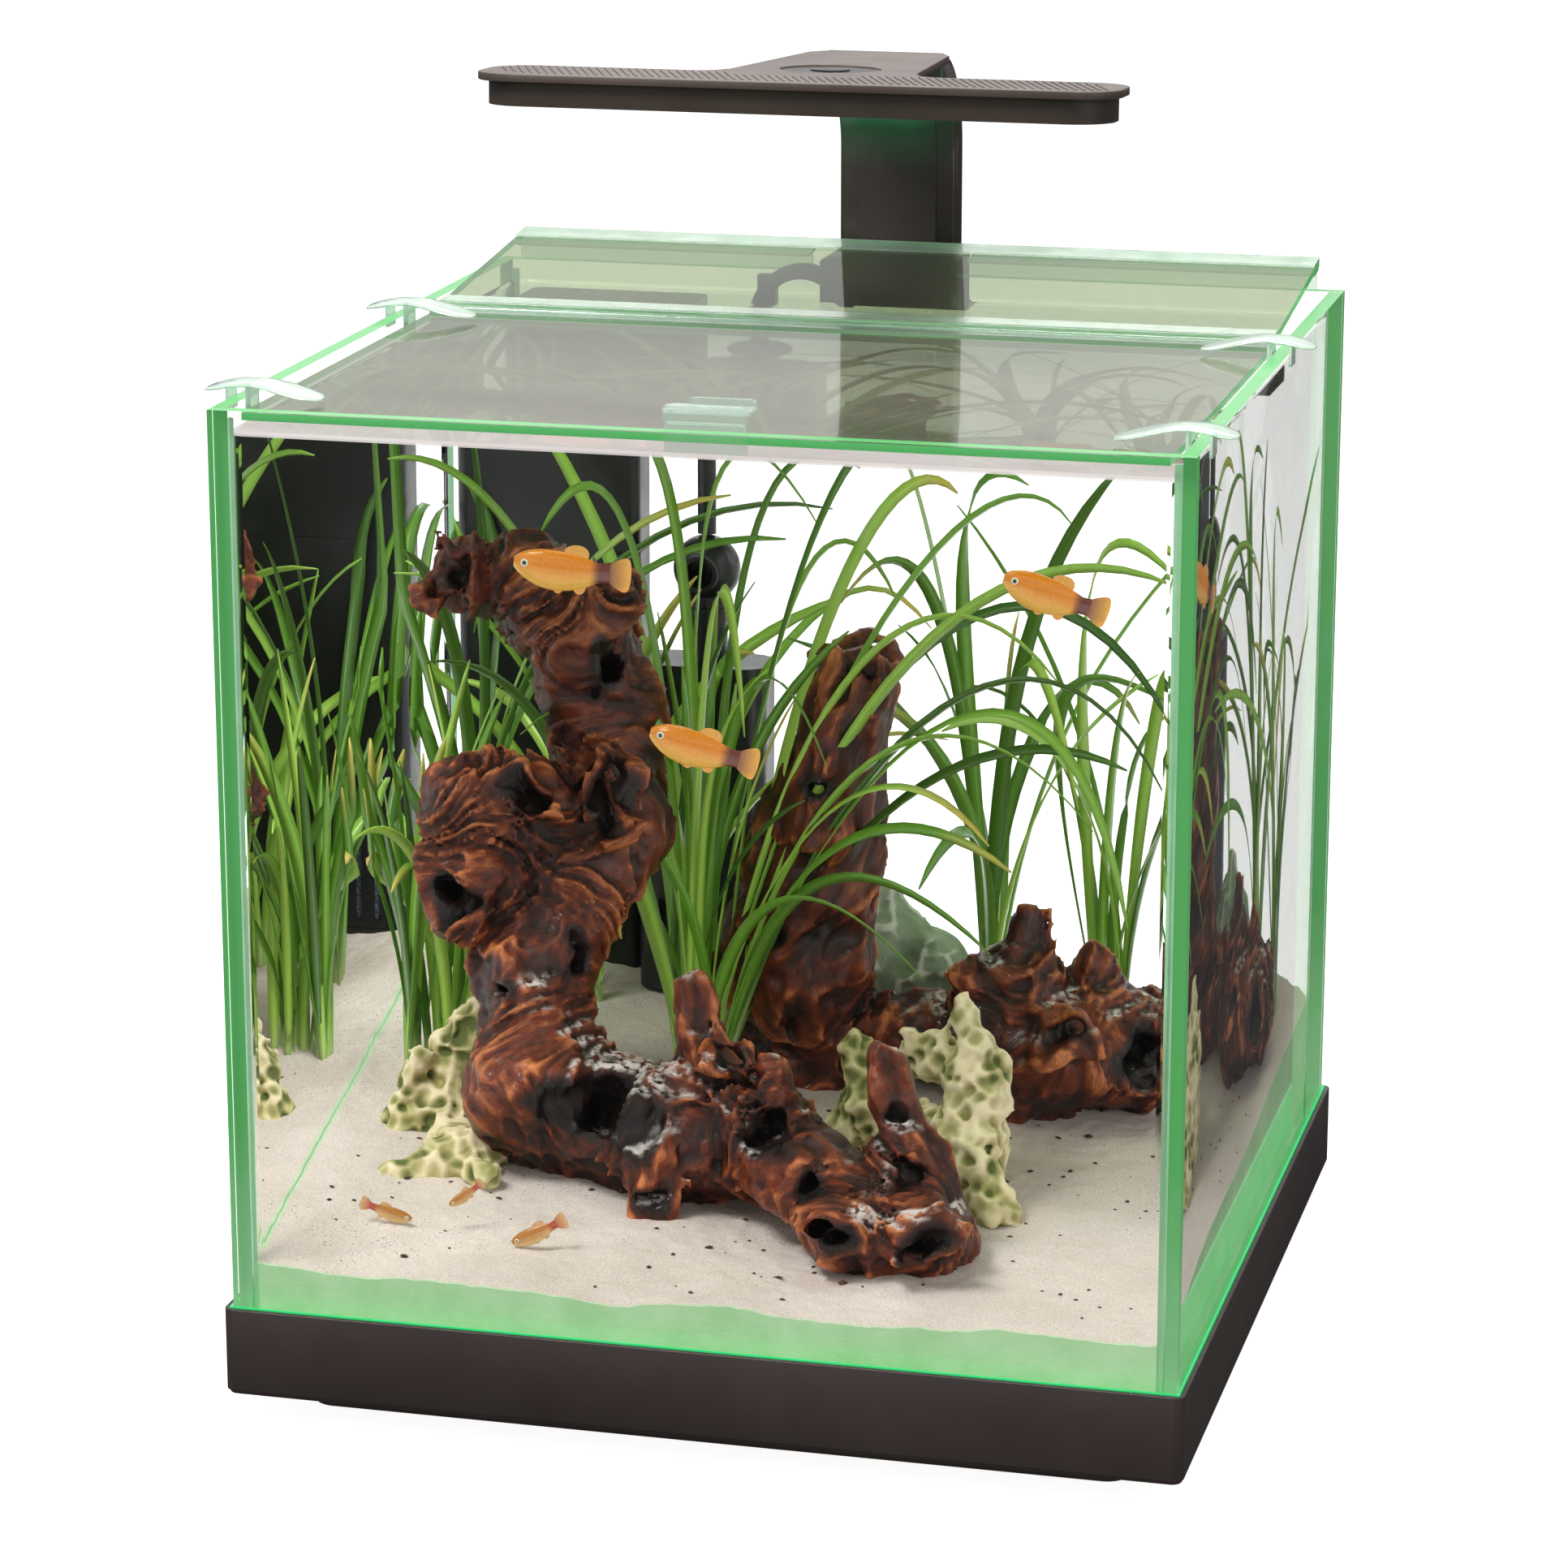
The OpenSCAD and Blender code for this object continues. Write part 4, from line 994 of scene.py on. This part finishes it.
MAIN_LIMBS = [
    [(-128, -8, 320, 17), (-104, -4, 318, 21), (-88, 2, 300, 24), (-76, 12, 256, 22), (-74, 6, 214, 25)],
    [(-128, -22, 226, 22), (-100, -20, 222, 24), (-88, -12, 200, 26),
     (-98, -42, 160, 22), (-90, -58, 112, 30)],
    [(-90, -58, 112, 30), (-38, -70, 102, 27), (0, -72, 106, 24), (28, -92, 98, 21), (72, -116, 90, 18)],
    [(-26, -62, 166, 6), (-20, -64, 140, 9), (-18, -66, 112, 17)],
    [(56, -88, 148, 6), (62, -91, 132, 9), (72, -96, 106, 15), (84, -106, 82, 16)],
    [(48, -126, 84, 17), (76, -122, 84, 18)],
    [(-130, -34, 194, 16), (-112, -32, 206, 20)],
    [(-72, -8, 316, 12), (-84, -6, 300, 18)],
    [(12, -84, 138, 8), (14, -80, 112, 15)],
    [(-4, -78, 132, 7), (4, -76, 108, 17)],
]
MAIN_PITS = [
    ((-135, -40, 324, 9), (-126, -14, 322, 5)),
    ((-134, -66, 194, 12), (-122, -34, 196, 8)),
    ((-92, -112, 126, 15), (-44, -104, 116, 14)),
    ((-70, -94, 120, 12), (-56, -80, 116, 12)),
    ((-34, -110, 84, 9), (-34, -88, 88, 6)),
    ((12, -112, 118, 9), (8, -84, 116, 6)),
    ((30, -126, 100, 7), (32, -104, 98, 4)),
    ((50, -154, 84, 8), (52, -132, 86, 5)),
    ((82, -150, 88, 7), (80, -128, 88, 4)),
    ((64, -114, 134, 4), (66, -100, 128, 3)),
    ((70, -122, 112, 6), (74, -106, 104, 4)),
    ((-106, -54, 238, 8), (-98, -30, 234, 5)),
    ((-64, -42, 238, 10), (-74, -14, 228, 8)),
    ((-104, -78, 164, 7), (-100, -58, 158, 4)),
    ((-74, -60, 176, 8), (-84, -40, 168, 6)),
    ((-112, -38, 266, 8), (-100, -14, 260, 5)),
    ((-70, -20, 286, 8), (-84, 0, 280, 5)),
    ((-6, -92, 148, 6), (-6, -80, 130, 4)),
]
MAIN_RIMS = [
    ((-131, -26, 324), (-0.4, -1, 0.05), 13, 5.5),
    ((-129, -48, 194), (-0.45, -1, 0.05), 15, 6.0),
    ((10, -98, 118), (0.2, -1, 0.1), 9, 3.5),
    ((-34, -98, 86), (0.0, -1, 0.1), 9, 3.0),
    ((31, -115, 99), (0.0, -1, 0.2), 8, 3.0),
    ((50, -143, 84), (0.0, -1, 0.1), 9, 3.5),
    ((80, -139, 88), (0.2, -1, 0.1), 8, 3.2),
    ((-100, -42, 236), (-0.3, -1, 0.3), 10, 4.0),
    ((-66, -30, 236), (0.2, -1, 0.3), 12, 4.0),
    ((-8, -84, 138), (0.2, -0.4, 1), 8, 3.2),
]
REAR_RIMS = [
    ((21, 60, 282), (0.0, -0.3, 1), 13, 4.0),
    ((140, 74, 118), (0.2, -1, 0.1), 12, 4.0),
    ((110, 46, 130), (0.0, -1, 0.2), 10, 3.5),
]
REAR_LIMBS = [
    [(20, 60, 270, 17), (6, 62, 215, 25), (-10, 72, 150, 31), (-4, 84, 110, 27)],
    [(-4, 84, 112, 26), (48, 84, 118, 17), (92, 76, 118, 31), (130, 96, 114, 25)],
    [(92, 70, 176, 7), (88, 72, 150, 17), (94, 76, 118, 32)],
    [(118, 84, 152, 9), (124, 90, 124, 20)],
    [(68, 62, 150, 7), (84, 70, 124, 22)],
    [(142, 108, 134, 8), (134, 100, 110, 20)],
]
REAR_PITS = [
    ((22, 46, 282, 4), (21, 54, 272, 3)),
    ((8, 34, 232, 6), (8, 46, 230, 4)),
    ((-14, 38, 168, 7), (-12, 52, 168, 4)),
    ((112, 40, 132, 6), (108, 56, 128, 4)),
    ((142, 68, 118, 9), (136, 82, 116, 6)),
]

# ---------------------------------------------------------------- rocks

ROCK_LEFT = [
    [(-124, -12, 150, 6), (-128, -16, 122, 12), (-134, -22, 96, 18)],
    [(-150, -34, 112, 7), (-146, -34, 90, 15), (-118, -30, 88, 14)],
    [(-150, -88, 84, 5), (-134, -80, 84, 9), (-116, -66, 86, 10), (-140, -40, 90, 12)],
    [(-108, -86, 82, 5), (-122, -70, 86, 9)],
]
ROCK_RIGHT = [
    [(78, -22, 154, 4), (66, -14, 136, 9), (44, -6, 116, 13), (34, -2, 96, 13)],
    [(78, -22, 154, 4), (84, -26, 132, 9), (88, -36, 104, 14), (98, -52, 82, 11)],
    [(30, -4, 132, 4), (40, -6, 112, 12)],
    [(60, -14, 100, 16), (84, -32, 92, 14)],
]
ROCK_REAR = [
    [(20, 126, 168, 6), (16, 130, 142, 20), (8, 134, 124, 18)],
    [(20, 126, 168, 6), (40, 130, 138, 16), (48, 134, 122, 14)],
]


def pale_net(p):
    """0 in the middle of each pore to about 1 on the walls between them."""
    return cell_distance(nudge(p, 2.0, 6, SEED + 55), 6.5, SEED + 61)


def pale_relief(p, _direction):
    """Pores with a net of thin walls between them."""
    return 5.0 * fractal(p, 18, 3, SEED + 51) + 5.5 * (pale_net(p) - 0.6)


def pale_tone(p, crest):
    walls = np.clip((pale_net(p) - 0.32) / 0.42, 0, 1)
    return 0.28 + 0.42 * walls + (0.14 * crest + 0.35 * fractal(p, 12, 3, SEED + 81))


def rear_relief(p, _direction):
    """Raised veins over a lumpy stone."""
    return 3.0 * fractal(p, 18, 3, SEED + 71) + 2.4 * ridged(p, 11, 2, SEED + 75) - 1.2


def rear_tone(p, crest):
    veins = np.clip(ridged(p, 11, 2, SEED + 75) - 0.72, 0, 1) / 0.28
    return 0.42 + 0.9 * veins + 0.1 * crest


def make_rock(name, limbs, relief, tone, look, node):
    """The look is the name of the material."""
    obj = grow(name, limbs, [], 1.3, 7.0, relief)
    shade = tone(mesh_points(obj), curvature(obj))
    point_attribute(obj, "relief", np.clip(shade, 0, 1))
    place(obj, "root", look, mats[look], node)


# ---------------------------------------------------------------- plants

# make_plants says what the nine numbers of a clump are
CLUMPS_LEFT = [
    (-163, 20, 15, 125, 195, 80, 170, 20, 80),
    (-148, 26, 13, 120, 185, 40, 150, -40, 75),
    (-150, 92, 12, 210, 330, 60, 150, -30, 60),
    (-104, 118, 9, 170, 250, 60, 160, -10, 60),
]
CLUMPS_CENTRE = [
    (-60, 100, 9, 200, 320, 90, 180, -40, 50),
    (-40, 40, 16, 150, 230, 60, 170, 10, 75),
]
CLUMPS_RIGHT = [
    (66, 148, 9, 200, 320, 100, 170, -50, 50),
    (118, 150, 7, 180, 290, 80, 160, -50, 50),
]
def leaf_path(root, turn, length, start, end, bow, steps=20):
    """A ribbon that leaves its root at one slope and bends over to another, in degrees."""
    at = np.array(root, float)
    path = [at.copy()]
    limit = INNER_R - 5
    for i in range(steps):
        s = (i + 0.5) / steps
        slope = math.radians(start + (end - start) * s ** 1.7)
        heading = math.radians(turn + bow * s * s)
        step = np.array([math.cos(slope) * math.cos(heading), math.cos(slope) * math.sin(heading),
                         math.sin(slope)]) * length / steps
        at = at + step
        at[:2] = np.clip(at[:2], -limit, limit)
        at[2] = min(at[2], WATER_Z - 1.5)
        path.append(at.copy())
    return np.array(path)


def arched_path(root, crest, tip, steps=24):
    """A long leaf that climbs from its root, passes a crest half way and hangs to its tip."""
    root, crest, tip = (np.array(v, float) for v in (root, crest, tip))
    pull = 2 * crest - 0.5 * (root + tip)
    rise = root * [1, 1, 0] + [0, 0, 0.35 * root[2] + 0.65 * crest[2]]
    t = np.linspace(0, 1, steps + 1)[:, None]
    plain = (1 - t) ** 2 * root + 2 * t * (1 - t) * pull + t ** 2 * tip
    steep = (1 - t) ** 3 * root + 3 * t * (1 - t) ** 2 * rise + 3 * t ** 2 * (1 - t) * pull + t ** 3 * tip
    path = 0.5 * plain + 0.5 * steep
    path[:, 2] = np.minimum(path[:, 2], WATER_Z - 1.5)
    return path


def keep_clear(path):
    """Leads a leaf past the front of the filter and the pump instead of through them."""
    for node in ("filter_body", "pump_body"):
        low, high = box_mm(node)
        inside = (path[:, 0] > low[0] - 5) & (path[:, 0] < high[0] + 5) & (path[:, 1] > low[1] - 5)
        if inside.any():
            path[inside, 1] = low[1] - 5
            for _ in range(3):
                path[1:-1] = 0.5 * path[1:-1] + 0.25 * (path[:-2] + path[2:])
    return path


def leaf_mesh(path, width, turn_deg):
    """A shallow V section swept along the path, turned about it a little, closed at both ends."""
    tangent = np.gradient(path, axis=0)
    tangent /= np.linalg.norm(tangent, axis=1)[:, None] + 1e-9
    flat = np.cross(tangent, [0, 0, 1])
    flat[np.linalg.norm(flat, axis=1) < 1e-3] = [1, 0, 0]
    flat /= np.linalg.norm(flat, axis=1)[:, None]
    up = np.cross(flat, tangent)
    s = np.linspace(0, 1, len(path))
    a = np.radians(turn_deg * (0.3 + 0.7 * s))[:, None]
    flat, up = flat * np.cos(a) + up * np.sin(a), up * np.cos(a) - flat * np.sin(a)
    half = width / 2 * np.minimum(0.55 + 1.5 * s, 1) * np.sqrt(np.clip(1 - s ** 5, 0.02, 1))
    rise = up * (0.22 * half)[:, None]
    rings = np.stack([path + flat * half[:, None] + rise, path + up * 0.22,
                      path - flat * half[:, None] + rise, path - up * 0.3], 1)
    return rings.reshape(-1, 3), tube_faces(len(path), 4), np.repeat(s, 4)


def make_plants(name, clumps, arched, seed, node):
    """Clumps are (x, y, leaves, least length, most length, turn, spread, least end slope, most end slope)."""
    rng = np.random.default_rng(seed)
    points, faces, along, tint, age = [], [], [], [], []
    paths = []
    for x, y, count, shortest, longest, turn, spread, low, high in clumps:
        for i in range(count):
            heading = turn + spread * (2 * (i + rng.uniform(-0.4, 0.4)) / max(count - 1, 1) - 1)
            r = rng.uniform(0.5, 8)
            a = math.radians(rng.uniform(0, 360))
            rx, ry = x + r * math.cos(a), y + r * math.sin(a)
            root = (rx, ry, float(sand_height(rx, ry)) - 6)
            path = leaf_path(root, heading, rng.uniform(shortest, longest), rng.uniform(81, 93),
                             rng.uniform(low, high), rng.uniform(-30, 30))
            paths.append((path, rng.uniform(4.4, 7.0)))
    for x, y, crest, tip, width in arched:
        paths.append((arched_path((x, y, float(sand_height(x, y)) - 6), crest, tip), width))
    for path, width in paths:
        p, f, s = leaf_mesh(keep_clear(path), width, rng.choice([-1, 1]) * rng.uniform(30, 72))
        base = sum(map(len, points))
        points.append(p)
        faces += [tuple(base + k for k in face) for face in f]
        along.append(s)
        tint.append(np.full(len(p), rng.uniform(0, 1)))
        age.append(np.full(len(p), rng.uniform(0.45, 1.12)))
    obj = add_mesh(name, np.concatenate(points), faces)
    point_attribute(obj, "along", np.concatenate(along))
    point_attribute(obj, "tint", np.concatenate(tint))
    point_attribute(obj, "age", np.concatenate(age))
    place(obj, "root", "leaf", mats["leaf"], node)


ARCHED_CENTRE = [
    (-42, 38, (-6, 20, 181), (61, -10, 163), 7.5),
    (-38, 40, (23, 10, 207), (98, -20, 213), 6.0),
    (-44, 42, (20, 30, 220), (84, 10, 217), 5.5),
    (-40, 44, (77, 20, 263), (144, -10, 191), 6.0),
    (-36, 42, (72, 30, 267), (154, 20, 241), 6.0),
    (-40, 46, (32, 40, 280), (107, 40, 281), 7.0),
    (-42, 48, (63, 60, 289), (154, 40, 266), 5.5),
    (-38, 44, (56, 40, 285), (155, 30, 325), 6.5),
    (-46, 36, (-80, 10, 231), (-88, -10, 190), 6.5),
    (-44, 34, (-63, 20, 249), (-82, 0, 216), 7.0),
    (-48, 42, (-71, 40, 316), (-106, 20, 334), 6.0),
    (-46, 46, (-55, 50, 329), (-90, 40, 367), 5.5),
    (-50, 38, (-108, 30, 302), (-168, 10, 364), 5.0),
    (-40, 50, (-25, 60, 315), (21, 60, 362), 6.0),
    (-44, 50, (-43, 60, 332), (4, 60, 337), 6.0),
    (-50, 34, (-98, 20, 307), (-130, 0, 295), 5.0),
    (-34, 46, (18, 60, 307), (60, 70, 352), 7.0),
    (-36, 50, (-4, 60, 300), (36, 66, 306), 6.0),
    (-38, 42, (40, 30, 243), (128, 0, 228), 6.5),
    (-36, 46, (52, 40, 226), (140, 10, 252), 6.0),
    (-34, 44, (12, 20, 190), (88, -10, 176), 6.0),
    (-42, 40, (50, 50, 310), (110, 50, 345), 6.0),
    (-44, 44, (10, 40, 330), (48, 50, 368), 6.5),
    (-48, 40, (-30, 10, 300), (-12, -20, 262), 6.5),
    (-44, 44, (-20, 20, 262), (20, -10, 250), 6.0),
    (-46, 38, (-70, 0, 205), (-62, -30, 176), 7.0),
]
ARCHED_RIGHT = [
    (68, 148, (53, 120, 303), (82, 120, 349), 6.5),
    (70, 146, (40, 128, 300), (28, 110, 360), 6.5),
    (112, 150, (105, 130, 290), (146, 110, 314), 5.5),
    (116, 150, (93, 120, 242), (146, 110, 261), 5.5),
    (66, 150, (78, 130, 262), (108, 100, 216), 5.5),
    (64, 146, (44, 120, 285), (8, 90, 300), 6.0),
    (120, 150, (140, 130, 262), (150, 96, 200), 5.5),
]

# ---------------------------------------------------------------- fish

# Outlines as shares of the fish's length along it and, but for the tail, of its depth upwards
TAIL_FIN = [(0.28, 0.04), (0.34, 0.10), (0.47, 0.16), (0.50, 0.08),
            (0.50, -0.08), (0.47, -0.16), (0.34, -0.10), (0.28, -0.04)]
BACK_FIN = [(-0.10, 0.36), (-0.04, 0.58), (0.08, 0.60), (0.14, 0.44), (0.12, 0.22)]
REAR_FIN = [(0.00, -0.44), (0.05, -0.64), (0.12, -0.58), (0.13, -0.26)]
BELLY_FIN = [(-0.18, -0.46), (-0.13, -0.68), (-0.07, -0.62), (-0.08, -0.46)]


def fish_profile(s, depth):
    """Half height of the body at s from nose to tail root, as a share of its length."""
    belly = depth / 2 * math.sin(math.pi * min(s * 0.93 + 0.02, 1) ** 0.78) ** 0.75
    root = 0.17 * depth + 0.02
    return max(belly, root if s > 0.6 else 0.0) + 0.002


def rounded_fin(points):
    """Cuts the corners of a fin's outline twice, so that its edge is round."""
    outline = np.array(points, float)
    for _ in range(2):
        after = np.roll(outline, -1, axis=0)
        outline = np.stack([0.75 * outline + 0.25 * after, 0.25 * outline + 0.75 * after], 1).reshape(-1, 2)
    return outline


def make_fish(name, centre, length, heading, pitch, depth, skin):
    """One fish: a lofted body, an eye on each side, and back, belly, rear and tail fins."""
    rings, sides = 30, 24
    points, patch, height, eye = [], [], [], []
    for i in range(rings):
        s = i / (rings - 1)
        tall = fish_profile(s, depth)
        wide = 0.5 * tall * (1 - 0.55 * s ** 2)
        drop = -0.10 * depth * math.sin(math.pi * s)
        for k in range(sides):
            a = 2 * math.pi * k / sides
            points.append((s * 0.82 - 0.5, wide * math.cos(a), drop + tall * math.sin(a)))
            patch.append(float(np.clip((s - 0.80) / 0.08, 0, 1)))
            height.append(0.5 + 0.5 * math.sin(a))
            eye.append(0.0)
    faces = tube_faces(rings, sides)
    for outline, tone in ((TAIL_FIN, 0.5), (BACK_FIN, 0.1), (REAR_FIN, 0.1), (BELLY_FIN, 0.1)):
        outline = rounded_fin(outline)
        scale = 1.0 if tone == 0.5 else depth
        base, n = len(points), len(outline)
        for y in (0.006, -0.006):
            for fx, fz in outline:
                points.append((fx, y, fz * scale))
                patch.append(float(np.clip((0.42 - fx) / 0.1, 0, 1)) if tone == 0.5 else tone)
                height.append(0.3)
                eye.append(0.0)
        faces.append(tuple(base + k for k in range(n))[::-1])
        faces.append(tuple(base + n + k for k in range(n)))
        faces += [(base + k, base + (k + 1) % n, base + n + (k + 1) % n, base + n + k) for k in range(n)]
    for side in (1, -1):
        for radius, proud, tone in ((0.034, 0.0, 0.5), (0.020, 0.008, 1.0)):
            base = len(points)
            at = np.array([-0.40, side * (0.28 * depth + proud), 0.04 * depth])
            points.append(tuple(at + [0, side * 0.010, 0]))
            points += [tuple(at + [radius * math.cos(a), -side * 0.012, radius * math.sin(a)])
                       for a in np.linspace(0, 2 * math.pi, 17)[:-1]]
            faces += [(base, base + 1 + k, base + 1 + (k + 1) % 16)[::-side] for k in range(16)]
            faces.append(tuple(base + 1 + k for k in range(16))[::side])
            patch += [0.0] * 17
            height += [0.8] * 17
            eye += [tone] * 17
    turn = Matrix.Rotation(math.radians(heading), 3, "Z") @ Matrix.Rotation(math.radians(pitch), 3, "Y")
    world = np.array(points) * length @ np.array(turn).T + np.array(centre)
    obj = add_mesh(name, world, faces)
    obj.data.set_sharp_from_angle(angle=math.radians(60))
    point_attribute(obj, "patch", patch)
    point_attribute(obj, "height", height)
    point_attribute(obj, "eye", eye)
    place(obj, "root", "leaf", skin)


# ---------------------------------------------------------------- lamp ribs

def make_lamp_ribs():
    """Slanting ribs moulded into the lamp head's top, on the head's own slope."""
    low, high = box_mm("lamp_top_cover")
    centre_x = (low.x + high.x) / 2
    half_len = (high.x - low.x) / 2 - 7
    tilt = math.radians(2.5)
    pivot = (162.0, RIM_Z + 100)
    bar_y, half_d = 15.0, 18.0
    corner, button_gap = 16, 27
    points, faces = [], []
    pitch, wide, tall, lean = 3.4, 1.3, 0.45, 0.75
    count = int(2 * half_len / pitch)
    for i in range(count):
        x = -half_len + pitch * (i + 0.5)
        reach = half_d
        over = abs(x) - (half_len - corner)
        if over > 0:
            reach = half_d - corner + math.sqrt(max(corner ** 2 - over ** 2, 0))
        y0, y1 = bar_y - reach, bar_y + reach
        if abs(x) < button_gap:
            y1 = bar_y + 6
        if y1 - y0 < 3:
            continue
        shift = lean * half_d
        x0 = x - shift * (y0 - bar_y) / half_d * 0.5
        x1 = x - shift * (y1 - bar_y) / half_d * 0.5
        base = len(points)
        for z, inset in ((-0.2, 0.0), (tall, 0.3)):
            for px, py in ((x0 - wide / 2 + inset, y0 + inset), (x0 + wide / 2 - inset, y0 + inset),
                           (x1 + wide / 2 - inset, y1 - inset), (x1 - wide / 2 + inset, y1 - inset)):
                dy = py - pivot[0]
                points.append((centre_x + px, pivot[0] + dy * math.cos(tilt) + z * math.sin(tilt),
                               pivot[1] - dy * math.sin(tilt) + z * math.cos(tilt)))
        faces += [tuple(base + k for k in (3, 2, 1, 0)), tuple(base + k for k in (4, 5, 6, 7))]
        faces += [tuple(base + k for k in (j, (j + 1) % 4, 4 + (j + 1) % 4, 4 + j)) for j in range(4)]
    obj = add_mesh("lamp_ribs", points, faces, smooth=False)
    place(obj, "root", "lamp_plastic", mats["lamp_top"])


# ---------------------------------------------------------------- stage

def make_stage():
    """A white floor that is dimmer where glass mirrors it, as a black flag beside the lens makes it."""
    bpy.ops.mesh.primitive_plane_add(size=40, location=(0, 0, 0))
    floor = bpy.context.object
    floor.name = "studio_floor"
    s = Shader("studio_floor").set(color=(0.45, 0.45, 0.45), rough=0.9, specular=0.0)
    s.set(glow_color=(1.0, 0.993, 0.985), glow=0.93)
    path = s.node("ShaderNodeLightPath")
    shader = s.surface.outputs["BSDF"]
    for ray, level in (("Is Reflection Ray", 0.05), ("Is Diffuse Ray", 0.32)):
        dim = s.node("ShaderNodeEmission")
        dim.inputs["Color"].default_value = (level, level, level, 1)
        shader = s.mix_shader(path.outputs[ray], shader, dim.outputs["Emission"])
    s.finish(shader)
    floor.data.materials.append(s.material)


def make_light(name, place_at, size, power, aim=(0, 0, 0.25)):
    data = bpy.data.lights.new(name, "AREA")
    data.shape = "RECTANGLE"
    data.size, data.size_y = size
    data.energy = power
    obj = bpy.data.objects.new(name, data)
    obj.location = place_at
    obj.rotation_euler = (Vector(aim) - Vector(place_at)).to_track_quat("-Z", "Y").to_euler()
    bpy.context.scene.collection.objects.link(obj)


def make_world():
    """A soft dome: bright above, and grey low down, which is what the lid glass mirrors."""
    world = bpy.data.worlds.new("studio")
    bpy.context.scene.world = world
    world.use_nodes = True
    tree = world.node_tree
    coord = tree.nodes.new("ShaderNodeTexCoord")
    split = tree.nodes.new("ShaderNodeSeparateXYZ")
    ramp = tree.nodes.new("ShaderNodeValToRGB")
    stops = ((0.0, 0.35), (0.10, 0.35), (0.2, 0.95), (0.42, 0.95), (0.6, 0.35))
    while len(ramp.color_ramp.elements) < len(stops):
        ramp.color_ramp.elements.new(0.5)
    for element, (at, level) in zip(ramp.color_ramp.elements, stops):
        element.position = at
        element.color = (level, level, level, 1)
    tree.links.new(coord.outputs["Generated"], split.inputs["Vector"])
    tree.links.new(split.outputs["Z"], ramp.inputs["Fac"])
    tree.links.new(ramp.outputs["Color"], tree.nodes["Background"].inputs["Color"])
    tree.nodes["Background"].inputs["Strength"].default_value = 0.9


def make_camera():
    """The photograph's view: a long lens to the right of the front, looking down at the tank."""
    lens, yaw, pitch = 115.2, 14.2, 15.06
    data = bpy.data.cameras.new("camera")
    data.lens = lens
    data.sensor_width = 36
    data.clip_end = 60
    camera = bpy.data.objects.new("camera", data)
    camera.location = (0.4824, -1.9540, 0.7680)
    camera.rotation_euler = (math.radians(90 - pitch), 0, math.radians(yaw))
    bpy.context.scene.collection.objects.link(camera)
    bpy.context.scene.camera = camera


def set_render_quality():
    scene = bpy.context.scene
    scene.view_settings.view_transform = "Standard"
    scene.cycles.max_bounces = 20
    scene.cycles.transmission_bounces = 18
    scene.cycles.transparent_max_bounces = 24
    scene.cycles.diffuse_bounces = 3
    scene.cycles.glossy_bounces = 6
    scene.cycles.caustics_reflective = False
    scene.cycles.caustics_refractive = False
    scene.cycles.use_denoising = True


# ---------------------------------------------------------------- build

make_camera()
dress_cad_nodes()
for part, width in (("base_shell", 1.2), ("plinth_plate", 0.8)):
    rounded_copy(part, "base_plastic", "base", width)
for part, width, look in (("lamp_top_cover", 0.8, "lamp_top"),
                          ("lamp_arm_body", 2.0, "lamp_arm"), ("clamp_body", 1.5, "lamp")):
    rounded_copy(part, "lamp_plastic", look, width)
for part, side, y in (("lid_clip_front_left", -1, -160), ("lid_clip_front_right", 1, -160),
                      ("lid_clip_mid_left", -1, 32), ("lid_clip_mid_right", 1, 32)):
    make_clip(part, side, y)
make_handle()
make_sand()
make_specks()
make_water()
make_wood("driftwood_front", MAIN_LIMBS, MAIN_PITS, MAIN_RIMS, "driftwood_main")
make_wood("driftwood_back", REAR_LIMBS, REAR_PITS, REAR_RIMS, "driftwood_rear")
make_rock("porous_rock_left", ROCK_LEFT, pale_relief, pale_tone, "pale_rock", "rock_left")
make_rock("porous_rock_right", ROCK_RIGHT, pale_relief, pale_tone, "pale_rock", "rock_right")
make_rock("veined_rock_rear", ROCK_REAR, rear_relief, rear_tone, "green_rock", "rock_rear")
make_plants("grass_left", CLUMPS_LEFT, [], 3, "plants_left")
make_plants("grass_centre", CLUMPS_CENTRE, ARCHED_CENTRE, 5, "plants_centre")
make_plants("grass_right", CLUMPS_RIGHT, ARCHED_RIGHT, 9, "plants_right")
platy = fish_material("platy_skin", (0.86, 0.27, 0.006), (0.95, 0.52, 0.07), (0.14, 0.012, 0.004))
tetra = fish_material("tetra_skin", (0.42, 0.16, 0.02), (0.66, 0.46, 0.20), (0.40, 0.05, 0.015))
make_fish("platy_upper_left", (-66, -100, 341), 47, 4, 5, 0.34, platy)
make_fish("platy_middle", (-17, -80, 268), 45, 4, 15, 0.33, platy)
make_fish("platy_upper_right", (120, -60, 334), 43, 8, 18, 0.34, platy)
make_fish("tetra_front_left", (-138, -140, 80), 22, 188, -17, 0.27, tetra)
make_fish("tetra_middle", (-106, -132, 88), 17, 24, -34, 0.27, tetra)
make_fish("tetra_front_right", (-74, -140, 77), 25, 6, -27, 0.27, tetra)
make_lamp_ribs()
make_stage()
make_light("key", (-0.9, -1.0, 2.1), (0.8, 0.7), 42)
make_light("fill", (1.9, -1.3, 0.9), (1.2, 1.2), 9)
make_light("back", (-0.3, 1.9, 1.6), (2.0, 0.8), 14)
make_light("top", (0.05, 0.1, 1.5), (0.5, 0.5), 12, aim=(0, 0, 0))
make_world()
set_render_quality()
